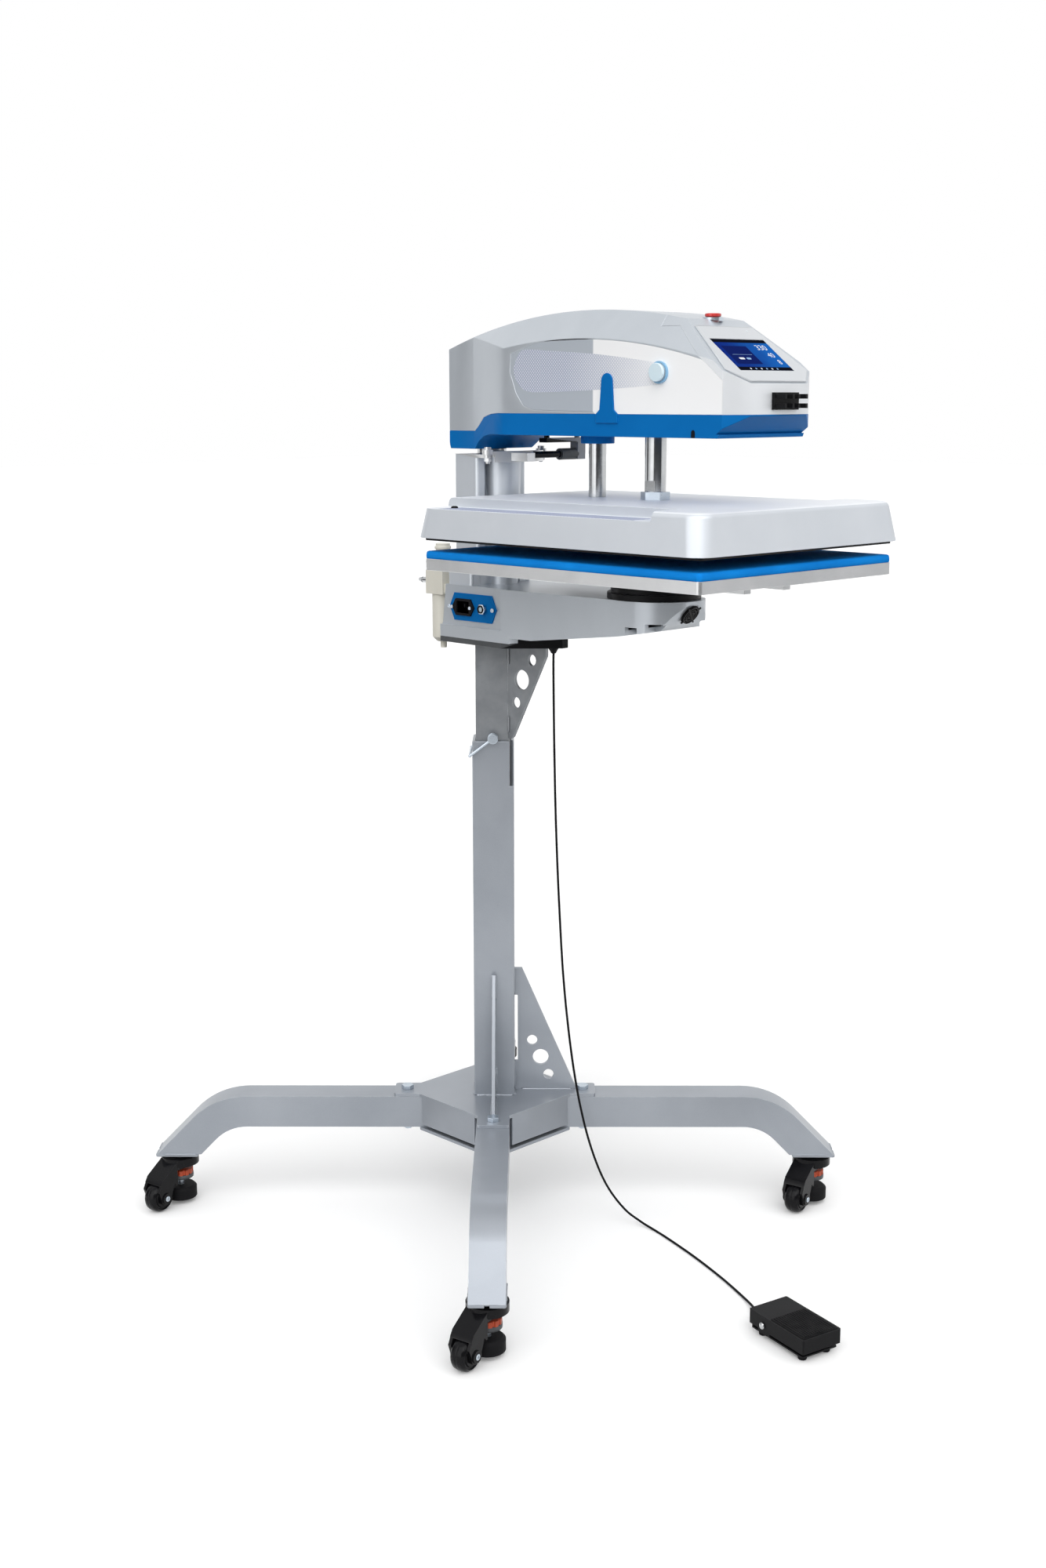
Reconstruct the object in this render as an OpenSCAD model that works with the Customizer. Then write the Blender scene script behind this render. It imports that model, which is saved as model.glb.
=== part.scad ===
// Floor-standing pneumatic swing-away heat press with a foot pedal.
// Millimetres. Origin on the floor under the column axis, +Z up, operator in front at -Y.

/* [Stand] */
// Side of the square leg tube
leg_w = 50.8; // [44:0.2:60]
// Wall of the leg tube
leg_wall = 3; // [2:0.5:5]
// Height of the top of the legs
leg_top_z = 186; // [176:1:200]
// Distance from the column axis where a leg starts to bend down
leg_bend_start = 396; // [360:1:430]
// Outer radius of the leg bend
leg_bend_r = 120; // [105:1:140]
// Angle through which a leg bends down
leg_bend_angle = 46; // [40:1:52]
// Thickness of the plate that closes a leg's end
end_plate_t = 4; // [3:0.5:6]
// Thickness of the formed hub plate
hub_plate_t = 5; // [4:0.5:7]
// Distance from the axis to the hub plate's slanted edges
hub_edge_r = 102.5; // [98:0.5:112]
// Length of the hub tabs from the axis
hub_tab_len = 160; // [150:1:180]
// Height of the hub's turned-down flanges
hub_flange_h = 45; // [35:1:46]
// Distance of the leg bolts from the axis
leg_bolt_reach = 140; // [132:1:146]
// Side of the square lower column
lower_column_w = 63.5; // [60:0.5:70]
// Wall of the lower column
lower_column_wall = 5.25; // [4.5:0.25:6]
// Height of the lower column's rim
column_rim_z = 762; // [730:1:770]
// Thickness of the welded gusset plates
gusset_t = 5; // [4:0.5:7]
// Height of a base gusset
base_gusset_h = 202; // [180:1:230]
// Reach of a base gusset from the axis
base_gusset_reach = 129; // [120:1:134]

/* [Casters] */
// Distance of the caster swivel axes from the column axis
caster_reach = 510; // [500:1:516]
// Height of a caster under the leg plate
caster_h = 84; // [82:1:90]
// Diameter of the caster wheel
caster_wheel_d = 48; // [46:0.5:50]
// Width of the caster wheel
caster_wheel_w = 24; // [20:0.5:26]
// Distance from the swivel axis to the wheel axle
caster_trail = 51; // [50:0.5:56]
// Diameter of the levelling pad
caster_pad_d = 50; // [44:1:50]
// Travel of the levelling pad down to the floor
caster_foot_travel = 8; // [6:0.5:8]
// Direction in which the casters trail
caster_heading = 191.5; // [0:0.5:360]

/* [Column] */
// Height of the column top under the mounting plate
column_top_z = 915; // [900:1:925]
// Length of upper column inside the lower one
column_overlap = 330; // [260:1:360]
// Sliding gap between the two columns, each side
column_gap = 0.25; // [0.2:0.05:0.4]
// Wall of the upper column
upper_column_wall = 4; // [3:0.5:5]
// Diameter of the hitch pin
hitch_pin_d = 10; // [8:0.5:11]
// Reach of the wire bail from the pin axis
bail_reach = 44.5; // [44:0.5:48]
// Angle of the bail below the horizontal
bail_angle = 37.5; // [30:0.5:38]
// Diameter of the bail wire
bail_wire_d = 4; // [3:0.5:4]
// Thickness of the mounting plate
mount_plate_t = 8; // [6:0.5:10]

/* [Base] */
// Half width of the base casting
base_half_w = 70; // [66:0.5:76]
// Y of the base casting's back
base_back_y = 42; // [38:1:50]
// Y where the mounting plate starts to narrow
plate_chamfer_y = -90; // [-96:1:-84]
// Height of the casting's flange
base_flange_h = 18; // [12:1:20]
// Height of the casting's top face
base_top_z = 1002; // [998:1:1006]
// Y of the centre of the casting's round front
base_nose_y = -340; // [-348:1:-334]
// Radius of the casting's round front
base_nose_r = 62; // [58:1:66]
// Half width of the swing post
post_half_w = 50; // [48:0.5:52]
// Y of the post's back face
post_back_y = 30; // [28:0.5:32]
// Y of the front edge of the post's side walls
post_front_y = -22; // [-24:0.5:-18]
// Height of the post's top face
post_top_z = 1190; // [1186:1:1192]
// Diameter of the swing shaft
swing_shaft_d = 30; // [26:0.5:32]
// Thickness of the cap plate on the post
post_cap_t = 5; // [4:0.5:6]
// Running clearance of shafts and pins, each side
running_gap = 0.05; // [0.03:0.01:0.08]
// Clearance between pieces that only pass each other
free_gap = 0.5; // [0.4:0.1:0.8]

/* [Platens] */
// Width of the platens
platen_w = 406.4; // [380:0.4:410]
// Depth of the platens
platen_d = 508; // [480:1:510]
// Y of the platens' centre
platen_y = -327; // [-329:1:-326]
// Height of the lower platen's underside
platen_bottom_z = 1038; // [1036:1:1042]
// Thickness of the lower platen
platen_t = 16.4; // [12:0.2:18]
// Thickness of the foam pad
pad_t = 10.6; // [8:0.2:11]
// Opening between the pad and the heat platen
press_gap = 15; // [14:0.5:20]
// Travel of the press
press_travel = 14.7; // [10:0.1:15]
// Thickness of the heat platen
heat_platen_t = 20; // [16:1:24]
// Overhang of the platen cover past the heat platen at each side
cover_side_over = 11.8; // [10.4:0.2:16]
// Overhang of the platen cover past the heat platen at front and back
cover_end_over = 10.5; // [9:0.5:11.5]
// Height of the platen cover's plateau above its rim
cover_h = 54; // [50:1:58]
// Inward lean of the cover's sides over their height
cover_draft = 9; // [6:0.5:12]
// Diameter of the piston rod
piston_rod_d = 30; // [28:0.5:32]
// Diameter of the guide rod
guide_rod_d = 25; // [22:0.5:26]
// Distance of the guide rod behind the piston rod
guide_rod_offset = 110; // [100:1:120]

/* [Head] */
// Half width of the head
head_half_w = 90; // [86:0.5:94]
// Half width of the head's tail
tail_half_w = 58; // [55:0.5:60]
// Y of the head's back
head_back_y = 36; // [32:0.5:38]
// Y of the head's front
head_front_y = -539; // [-545:1:-530]
// Height of the underside of the head's tail
tail_bottom_z = 1203; // [1202:1:1206]
// Height of the underside of the tray
tray_bottom_z = 1225; // [1222:1:1228]
// Height of the seam between tray and cover
seam_z = 1255; // [1250:1:1260]
// Height of the seam at the tail
tail_seam_z = 1229; // [1224:1:1234]
// Greatest height of the head
head_top_z = 1394; // [1385:1:1402]
// Y of the head's highest point
head_peak_y = -258; // [-270:1:-245]
// Radius of the arc along the head's top
head_top_r = 900; // [860:5:960]
// Half width of the flat along the head's top
head_crown_half_w = 58; // [56:0.5:66]
// Fall of the shoulder beside the crown
shoulder_fall = 38; // [34:1:42]
// Slope of the control bezel
bezel_angle = 37.5; // [34:0.5:42]
// Height of the bezel's lower edge
bezel_z = 1294; // [1288:1:1300]
// Wall of the head's shells
head_wall = 4; // [3:0.5:5]
// Depth of the side panels' pockets
panel_t = 2; // [1.5:0.25:2.5]
// Width of the touch screen
screen_w = 112; // [102:1:114]
// Height of the touch screen
screen_h = 67; // [58:1:72]
// Diameter of the palm buttons
palm_button_d = 24; // [20:0.5:26]
// Diameter of the stop button
stop_button_d = 22; // [18:0.5:24]

/* [Pedal] */
// Width of the pedal
pedal_w = 67; // [60:1:76]
// Length of the pedal
pedal_l = 114; // [104:1:120]
// Height of the pedal
pedal_h = 38; // [34:1:42]
// Place of the pedal's centre on the floor
pedal_at = [-38, -634];
// Turn of the pedal on the floor
pedal_turn = -12; // [-20:1:0]
// Diameter of the pedal's cord
cord_d = 3.5; // [3:0.1:4]

/* [Hidden] */
$fn = 64;
smooth = 720;
fine = 0.01;
over = 1;
far = 2000;
up = [0, 0, 1];

// Compass signs of the four legs: front left, front right, back left, back right
CORNERS = [[-1, -1], [1, -1], [-1, 1], [1, 1]];
leg_turns = [225, 315, 135, 45];
function corner_at(i) = caster_reach / sqrt(2) * CORNERS[i];

// Stand
leg_bottom_z = leg_top_z - leg_w;
leg_bend_in = leg_bend_r - leg_w;
leg_root = 30;
leg_end_z = caster_h + end_plate_t;
leg_run = 120;
hub_top_z = leg_top_z + hub_plate_t;
hub_flange_t = 4;
hub_flange_half = 61;
hub_bottom_gap = 3;
bolt_d = 10;
bolt_head_af = 17;
bolt_head_h = 6.5;
bolt_nut_h = 8;
hole_gap = 0.4;
column_slot_w = 8;
column_slot_h = 70;
gusset_top_w = 12;
gusset_slot_w = 5;
gusset_slot = [48, 157];
// Lightening holes of a base gusset: distance from the column, height on it, radius
base_gusset_holes = [[28, 82, 8.2], [41.5, 54, 12.6], [54, 25, 8]];

// Casters
wheel_r = caster_wheel_d / 2;
caster_stem_r = 8;
caster_disc_r = 30;
caster_disc_z = 66;
caster_disc_h = caster_h - 5 - caster_disc_z;
caster_collar_z = 58;
caster_collar_r = 12;
fork_in = caster_wheel_w / 2 + 1.2;
fork_t = 4.5;
fork_out = fork_in + fork_t;
fork_boss_r = 11;
axle_r = 4;
foot_stem_r = 5;
thumb_r = 20;
thumb_z = 42;
thumb_h = 14;
thumb_notches = 12;
caster_pad_h = 20;
fender_gap = 2.5;

// Column
upper_column_w = lower_column_w - 2 * lower_column_wall - 2 * column_gap;
pin_r = hitch_pin_d / 2;
pin_z = column_rim_z + pin_r + 0.3;
pin_turn = 225;
pin_hole_pitch = 25.4;
pin_hole_count = 5;
pin_collar_r = 8;
bail_eye_t = 5;
bail_front = lower_column_w / 2 + 4.3;
upper_gusset_reach = 117;
upper_gusset_drop = 15;
upper_gusset_bottom = column_rim_z + 4;
// Lightening holes of the upper gusset: distance from the axis, depth under the plate, radius
upper_gusset_holes = [[87, 24, 8.3], [65, 56, 15], [53, 92, 8.3]];
plate_top_z = column_top_z + mount_plate_t;
nose_block_t = 8;
nose_half_w = 6;
gland_y = -130;
gland_h = 10;
gland_r = 9;

// Base
flange_top_z = plate_top_z + base_flange_h;
casting_wall = 7;
post_wall = 14;
post_foot_half = 62;
post_foot_back = 33;
post_foot_front = -20;
post_foot_h = 24;
post_cone_y = -24;
post_cone_low_r = 21.6;
post_cone_top_r = 26.8;
post_core_r = 25;
shaft_seat_z = 1100;
shaft_top_z = 1300;
thrust_r = 22;
strap_y = 12.5;
strap_r = 82.5;
strap_t = 9;
strap_z = 1184;
strap_h = 16;
strap_angle = 42;
ear_r = 8;
lug_w = 16;
lug_x = -27.5;
lug_reach = 103;
inlet_plate_t = 2;
inlet_plate_w = 101;
inlet_plate_h = 41;
inlet_plate_y = -28;
inlet_plate_z = 970;
inlet_y = -9;
reset_y = -52;
inlet_w = 47;
inlet_h = 25;
inlet_socket = [27, 18, 14];
reset_r = 4;
reset_travel = 2;
filter_x = -45;
filter_y = 62;
filter_half = 19;
filter_z = 984;
filter_h = 36;
bowl_r = 17;
bowl_h = 66;
bowl_tip_h = 7;
drain_r = 5;
drain_h = 10;
stack_r = 11;
stack_h = 40;
rib_r = 12.5;
rib_h = 4;
rib_pitch = 7;
nipple_z = 1002;
nipple_r = 4.5;
nipple_l = 14;
nipple_neck = 10;
receiver_r = 66;
receiver_tier_h = 9;
receiver_upper_r = 61;
rail_x = 42;
rail_w = 14;
rail_h = 14;
rail_l = 400;
draw_travel = 200;

// Platens
platen_top_z = platen_bottom_z + platen_t;
pad_top_z = platen_top_z + pad_t;
heat_bottom_z = pad_top_z + press_gap;
cover_z = heat_bottom_z + 4;
cover_top_z = cover_z + cover_h;
cover_w = platen_w + 2 * cover_side_over;
cover_d = platen_d + 2 * cover_end_over;
cover_wall = 4;
cover_corner_r = 26;
cover_round = 7;
ledge_drop = 13;
ledge_w = 62;
ledge_front_y = platen_y - cover_d / 2 + 88;
guide_y = platen_y + guide_rod_offset;
piston_r = 50;
piston_h = 18;
piston_z = 1266;
rod_top_z = 1318;
rod_nut_af = 36;
rod_nut_h = 11;

// Head
bezel_top_y = head_front_y + 99;
nose_back_y = head_front_y + 21;
nose_t = 10;
nose_half_front = 58;
shoulder_angle = atan2(shoulder_fall, head_half_w - head_crown_half_w);
shoulder_r = head_top_r / cos(shoulder_angle);
tail_cut = 6;
tail_lean = 8;
nose_slant = 31;
nose_bottom_z = tray_bottom_z + 5;
flare_y = [-22, -86, -118];
flare_in = 10;
seam_y = [-26, -38, -56, -78, -100];
panel_back = [[-134, 82], [-132, 57], [-144, 28], [-158, 11], [-178, 5], [-292, 3], [-296, 0]];
panel_front_h = 50;
panel_top = [[-491, 74], [-397, 90], [-293, 101], [-187, 97]];
fascia_half = [58, 85, 59];
fascia_rise = [3, 28, 121];
fascia_t = 1.5;
screen_rise = 26;
tray_floor_t = 6;
hub_r = 25;
cylinder_r = 62;
cylinder_z = tray_bottom_z + tray_floor_t;
cylinder_h = 88;
cylinder_floor = 12;
boss_r = 24;
boss_h = 12;
palm_y = -412;
palm_z = 1309;
palm_travel = 4;
palm_stem_r = 8;
collar_t = 3;
stop_y = -425;
nose_tab_y = -396;
stop_travel = 2.5;
stop_cap_h = 4.5;
fin_y = -319;
fin_half = 20;
fin_top_r = 10;
fin_h = 54;
fin_t = 2.5;
damper_y = -92;
damper_z = 1194.5;
damper_tip_x = lug_x + lug_w + 0.5;
damper_elbow_x = 94;
clip_x = 10;
clip_z = 1272;

// Pedal
pedal_foot_h = 8;
pedal_foot_r = 7;
pedal_sheet = 2;
pedal_pivot_y = 28;
pedal_pivot_z = 22;
pedal_pin_r = 3;
pedal_skirt_z = 15;
pedal_pad_l = 68;
pedal_rib_pitch = 4;
pedal_rib_w = 2.4;
cord_entry_x = -7;
cord_entry_z = 14;
cord_r = cord_d / 2;

// Route of the pedal's cord from the gland to the pedal, chosen by hand
CORD = [
    [0, gland_y, column_top_z - gland_h - 0.1], [0, gland_y, 870], [1, -131, 760], [3, -133, 640], [7, -136, 520],
    [13, -140, 400], [22, -147, 290], [33, -156, 200], [47, -168, 125], [64, -184, 65],
    [82, -206, 25], [92, -232, 8], [93, -262, 2], [84, -300, 2], [64, -370, 2],
    [38, -445, 2], [10, -510, 3], [-12, -545, 8], [-25, -563, 13], [-30, -572, 14]
];
cord_steps = 4;
cord_sides = 8;

// Helpers

// Extrudes a (Y, Z) outline along X, centred
module along_x(w) { rotate([90, 0, 90]) linear_extrude(w, center = true) children(); }

// Extrudes an (X, Z) outline along Y, centred
module along_y(l) { rotate([90, 0, 0]) linear_extrude(l, center = true) children(); }

// Rounded rectangle, centred
module round_rect(w, h, r) {
    square([w - 2 * r, h], center = true);
    square([w, h - 2 * r], center = true);
    for (x = [-1, 1], y = [-1, 1]) translate([x * (w / 2 - r), y * (h / 2 - r)]) circle(r);
}

module both_sides() {
    children();
    mirror([1, 0, 0]) children();
}

// Turns a leg's own frame (X outwards) to leg i
module at_leg(i) { rotate(leg_turns[i]) children(); }

// A caster's own frame: swivel axis at the origin, +X along the trail
module at_caster(i) { translate(concat(corner_at(i), 0)) rotate(caster_heading) children(); }

// The hitch pin's own frame: pin along +X towards its head, on the column axis
module at_pin() { translate([0, 0, pin_z]) rotate(pin_turn) children(); }

// The pedal's own frame: front at -Y, on the floor
module at_pedal() { translate(concat(pedal_at, 0)) rotate(pedal_turn) children(); }

module hex(af, h) { cylinder(d = af / cos(30), h = h, $fn = 6); }

// Stand

// Side outline of the leg's bar with the given side, centred in the tube, in (reach, Z)
module leg_side(w) {
    in_r = leg_bend_r - leg_w / 2 - w / 2;
    out_r = in_r + w;
    bend = [leg_bend_start, leg_top_z - leg_bend_r];
    down = [cos(leg_bend_angle), -sin(leg_bend_angle)];
    out = [sin(leg_bend_angle), cos(leg_bend_angle)];
    corner = bend + [out_r * tan(leg_bend_angle / 2), out_r];
    difference() {
        polygon([
            [0, bend[1] + in_r], [0, bend[1] + out_r], corner, bend + out_r * out + leg_run * down,
            bend + in_r * out + leg_run * down, bend + in_r * out, bend, bend + [0, in_r]
        ]);
        translate(bend) circle(in_r);
        difference() {
            polygon([bend + [0, out_r], bend + 1.2 * (corner - bend), bend + out_r * out]);
            translate(bend) circle(out_r);
        }
    }
}

module leg_bar(w) { rotate([90, 0, 0]) translate([0, 0, -w / 2]) linear_extrude(w) leg_side(w); }

module leg() {
    difference() {
        leg_bar(leg_w);
        leg_bar(leg_w - 2 * leg_wall);
        translate([0, 0, leg_end_z - far / 2]) cube(far, center = true);
        translate([leg_root - far / 2, 0, leg_top_z]) cube(far, center = true);
        translate([leg_bolt_reach, 0, 0]) cylinder(d = bolt_d + 2 * hole_gap, h = far);
    }
}

module legs() { color("silver") for (i = [0:3]) at_leg(i) leg(); }

module leg_bolts() {
    color("lightsteelblue") for (i = [0:3]) at_leg(i) translate([leg_bolt_reach, 0, 0]) {
        translate([0, 0, hub_top_z]) hex(bolt_head_af, bolt_head_h);
        translate([0, 0, leg_bottom_z - bolt_nut_h - 3])
            cylinder(d = bolt_d, h = hub_top_z + fine - leg_bottom_z + bolt_nut_h + 3);
        translate([0, 0, leg_bottom_z - bolt_nut_h]) hex(bolt_head_af, bolt_nut_h);
    }
}

// Plan of the hub: an octagon between the legs, with a tab over each leg when asked
module hub_plan(tabs) {
    intersection() {
        square(2 * (hub_edge_r * sqrt(2) - leg_w / 2), center = true);
        rotate(45) square(2 * hub_edge_r, center = true);
    }
    if (tabs) for (i = [0, 1]) rotate(90 * i) round_rect(2 * hub_tab_len, leg_w - 1, 5);
}

module hub_top_plate() {
    color("silver") rotate(45) difference() {
        union() {
            translate([0, 0, leg_top_z]) linear_extrude(hub_plate_t) hub_plan(true);
            for (i = [0:3]) rotate(45 + 90 * i)
                translate([hub_edge_r - hub_flange_t, -hub_flange_half, leg_top_z - hub_flange_h])
                    cube([hub_flange_t, 2 * hub_flange_half, hub_flange_h + over]);
        }
        for (i = [0:3]) rotate(90 * i) translate([leg_bolt_reach, 0, 0])
            cylinder(d = bolt_d + 2 * hole_gap, h = far);
    }
}

module hub_bottom_plate() {
    color("silver") rotate(45) translate([0, 0, leg_bottom_z - hub_plate_t])
        linear_extrude(hub_plate_t) hub_plan(false);
}

module square_tube(w, wall, z0, z1) {
    difference() {
        translate([-w / 2, -w / 2, z0]) cube([w, w, z1 - z0]);
        translate([wall - w / 2, wall - w / 2, z0 - over]) cube([w - 2 * wall, w - 2 * wall, z1 - z0 + 2 * over]);
    }
}

module lower_column() {
    color("silver") difference() {
        rotate(45) square_tube(lower_column_w, lower_column_wall, hub_top_z, column_rim_z);
        translate([-column_slot_w / 2, -lower_column_w, column_rim_z - column_slot_h])
            cube([column_slot_w, lower_column_w - 20, column_slot_h + over]);
    }
}

module base_gusset() {
    x0 = lower_column_w / 2;
    rotate([90, 0, 0]) translate([0, hub_top_z, -gusset_t / 2]) linear_extrude(gusset_t) difference() {
        polygon([
            [x0, 0], [base_gusset_reach, 0], [base_gusset_reach, 4],
            [x0 + gusset_top_w, base_gusset_h], [x0, base_gusset_h]
        ]);
        translate([x0 - over, gusset_slot[0]]) square([gusset_slot_w + over, gusset_slot[1] - gusset_slot[0]]);
        for (h = base_gusset_holes) translate([x0 + h[0], h[1]]) circle(h[2]);
    }
}

module base_gussets() { color("silver") for (i = [0, 1]) at_leg(i) base_gusset(); }

// Plate under a leg's cut end, with the caster's stem
module caster_plates() {
    plate_l = 68;
    notch = 7;
    color("silver") for (i = [0:3]) {
        at_leg(i) translate([caster_reach, 0, caster_h]) difference() {
            linear_extrude(end_plate_t) round_rect(plate_l, leg_w + 2, 4);
            translate([plate_l / 2 - 6, -notch / 2, -over]) cube([plate_l, notch, end_plate_t + 2 * over]);
        }
        translate(concat(corner_at(i), caster_disc_z + 2 + free_gap))
            cylinder(r = caster_stem_r, h = caster_h - caster_disc_z - 2 - free_gap + over);
    }
}

// Casters

module caster_housing() {
    module fender() {
        polygon([
            [8, caster_collar_z + 4], [8, caster_disc_z + caster_disc_h - 2], [24, caster_disc_z + caster_disc_h - 2],
            [caster_trail + 6, wheel_r + 33], [caster_trail + 18, wheel_r + 14], [caster_trail - 26, wheel_r + 14],
            [caster_trail - 26, caster_collar_z + 4]
        ]);
    }
    module cheek() {
        polygon([
            [caster_trail - 26, wheel_r + 34], [caster_trail + 6, wheel_r + 33], [caster_trail + 16, wheel_r + 14],
            [caster_trail + fork_boss_r, wheel_r], [caster_trail - fork_boss_r, wheel_r], [caster_trail - 20, wheel_r + 22]
        ]);
        translate([caster_trail, wheel_r]) circle(fork_boss_r);
    }
    color("black") difference() {
        union() {
            translate([0, 0, caster_disc_z]) cylinder(r = caster_disc_r, h = caster_disc_h);
            translate([0, 0, caster_collar_z]) cylinder(r = caster_collar_r, h = caster_disc_z - caster_collar_z + over);
            difference() {
                along_y(2 * fork_out) fender();
                translate([caster_trail, 0, wheel_r]) rotate([90, 0, 0])
                    cylinder(r = wheel_r + fender_gap, h = far, center = true);
            }
            for (s = [-1, 1]) translate([0, s * (fork_in + fork_t / 2), 0]) along_y(fork_t) cheek();
            translate([caster_trail, 0, wheel_r]) rotate([90, 0, 0]) {
                cylinder(r = axle_r, h = 2 * fork_out + 6, center = true);
                for (s = [-1, 1]) translate([0, 0, s * (fork_out + 1)]) cylinder(r = fork_boss_r - 2, h = 2 + fine, center = true);
            }
        }
        translate([0, 0, caster_disc_z + 2]) cylinder(r = caster_stem_r + running_gap, h = far);
        translate([0, 0, caster_collar_z - far / 2]) cylinder(r = foot_stem_r + running_gap, h = far);
    }
}

module caster_wheel() {
    crown = 4;
    groove = 0.6;
    w = caster_wheel_w / 2;
    color("black") translate([caster_trail, 0, wheel_r]) rotate([90, 0, 0]) rotate_extrude() polygon([
        [axle_r + running_gap, -w], [wheel_r - 9, -w], [wheel_r - 8, -w + 2], [wheel_r - 6, -w + 2],
        [wheel_r - 5, -w], [wheel_r - crown, -w + 0.5], [wheel_r - 1, -w + crown], [wheel_r, -2],
        [wheel_r - groove, -0.5], [wheel_r - groove, 0.5],
        [wheel_r, 2], [wheel_r - 1, w - crown], [wheel_r - crown, w - 0.5], [wheel_r - 5, w],
        [wheel_r - 6, w - 2], [wheel_r - 8, w - 2], [wheel_r - 9, w], [axle_r + running_gap, w]
    ]);
}

module caster_foot() {
    pad_r = caster_pad_d / 2;
    color("black") union() {
        translate([0, 0, caster_foot_travel]) cylinder(r = pad_r, h = caster_pad_h - 4);
        translate([0, 0, caster_foot_travel + caster_pad_h - 4]) cylinder(r1 = pad_r, r2 = pad_r - 4, h = 4);
        translate([0, 0, caster_foot_travel]) cylinder(r = foot_stem_r, h = caster_disc_z + 1.5 - caster_foot_travel);
        difference() {
            translate([0, 0, thumb_z]) cylinder(r = thumb_r, h = thumb_h);
            for (i = [0:thumb_notches - 1]) rotate(360 / thumb_notches * i)
                translate([thumb_r, 0, thumb_z - over]) cylinder(r = 2.2, h = thumb_h + 2 * over);
        }
    }
}

// Column

module upper_column() {
    color("gray") difference() {
        rotate(45) square_tube(upper_column_w, upper_column_wall, column_rim_z - column_overlap, column_top_z);
        for (i = [0:pin_hole_count - 1]) translate([0, 0, -pin_hole_pitch * i]) at_pin() rotate([0, 90, 0])
            cylinder(r = pin_r + hole_gap, h = 2 * upper_column_w, center = true);
    }
}

module column_gusset() {
    y0 = upper_column_w / sqrt(2) - gusset_t;
    tip = upper_gusset_bottom;
    color("gray") difference() {
        along_x(gusset_t) difference() {
            polygon([
                [-y0, column_top_z], [-upper_gusset_reach, column_top_z], [-upper_gusset_reach, column_top_z - upper_gusset_drop],
                [-y0 - 14, tip + 3], [-y0 - 10, tip], [-y0, tip]
            ]);
            for (h = upper_gusset_holes) translate([-h[0], column_top_z - h[1]]) circle(h[2]);
        }
        rotate(45) translate([-upper_column_w / 2, -upper_column_w / 2, 0]) cube([upper_column_w, upper_column_w, far]);
    }
}

// Plan of the plate and the casting's flange, with a 45 degree nose cut at the given Y
module base_plan(nose_y) {
    intersection() {
        polygon([
            [-base_half_w, base_back_y], [base_half_w, base_back_y], [base_half_w, plate_chamfer_y],
            [nose_half_w, plate_chamfer_y - base_half_w + nose_half_w],
            [-nose_half_w, plate_chamfer_y - base_half_w + nose_half_w], [-base_half_w, plate_chamfer_y]
        ]);
        translate([-far / 2, nose_y]) square(far);
    }
}

plate_nose_y = plate_chamfer_y - base_half_w + nose_half_w;
block_y = plate_chamfer_y - 18;

module mounting_plate() {
    color("dimgray") difference() {
        union() {
            translate([0, 0, column_top_z]) linear_extrude(mount_plate_t) base_plan(plate_nose_y);
            translate([0, 0, plate_top_z - fine]) linear_extrude(nose_block_t) difference() {
                base_plan(plate_nose_y);
                translate([-far / 2, block_y]) square(far);
            }
        }
        translate([0, gland_y, 0]) cylinder(r = cord_r + free_gap, h = far);
    }
}

module cord_gland() {
    color("black") translate([0, gland_y, column_top_z - gland_h]) difference() {
        cylinder(r1 = cord_r + 1.5, r2 = gland_r, h = gland_h);
        translate([0, 0, gland_h - 4]) cylinder(r = cord_r, h = far);
    }
}

module hitch_pin() {
    back = bail_front + bail_eye_t + 3;
    color("lightsteelblue") at_pin() rotate([0, 90, 0]) {
        translate([0, 0, -back]) cylinder(r = pin_r, h = back + bail_front + bail_eye_t + 1);
        translate([0, 0, bail_front - 3.3]) cylinder(r = pin_collar_r, h = 3);
        translate([0, 0, bail_front + bail_eye_t + 0.3]) cylinder(r = pin_collar_r, h = 3);
    }
}

// Wire loop that hangs from the pin's two ends round the column
module hitch_bail() {
    wire_r = bail_wire_d / 2;
    mid = bail_front + bail_eye_t / 2;
    color("lightsteelblue") at_pin() rotate([bail_angle, 0, 0]) difference() {
        union() {
            for (s = [-1, 1]) translate([s * mid, 0, 0]) {
                rotate([0, 90, 0]) cylinder(r = pin_r + 2.5, h = bail_eye_t, center = true);
                rotate([90, 0, 0]) cylinder(r = wire_r, h = bail_reach);
                translate([0, -bail_reach, 0]) sphere(wire_r + 0.4);
            }
            translate([0, -bail_reach, 0]) rotate([0, 90, 0]) cylinder(r = wire_r, h = 2 * mid, center = true);
        }
        rotate([0, 90, 0]) cylinder(r = pin_r + running_gap, h = far, center = true);
    }
}

// Base

// Plan of the casting: a box that narrows to a round front
module casting_plan() {
    polygon([
        [-base_half_w, base_back_y], [base_half_w, base_back_y], [base_half_w, plate_chamfer_y],
        [base_nose_r, base_nose_y], [-base_nose_r, base_nose_y], [-base_half_w, plate_chamfer_y]
    ]);
    translate([0, base_nose_y]) circle(base_nose_r);
}

// Side outline of the casting: a belly that rises to the fan's slanted front
module casting_side() {
    front = base_nose_y - base_nose_r;
    polygon([
        [base_back_y, plate_top_z], [plate_chamfer_y - 16, plate_top_z], [plate_chamfer_y - 40, plate_top_z + 6],
        [base_nose_y + 30, plate_top_z + 28], [base_nose_y - 2, plate_top_z + 33], [base_nose_y - 33, plate_top_z + 39],
        [base_nose_y - 45, plate_top_z + 50], [front + 2, base_top_z - 7], [front - over, base_top_z],
        [base_back_y - 9, base_top_z], [base_back_y - 2, flange_top_z + 3], [base_back_y, flange_top_z]
    ]);
}

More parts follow.
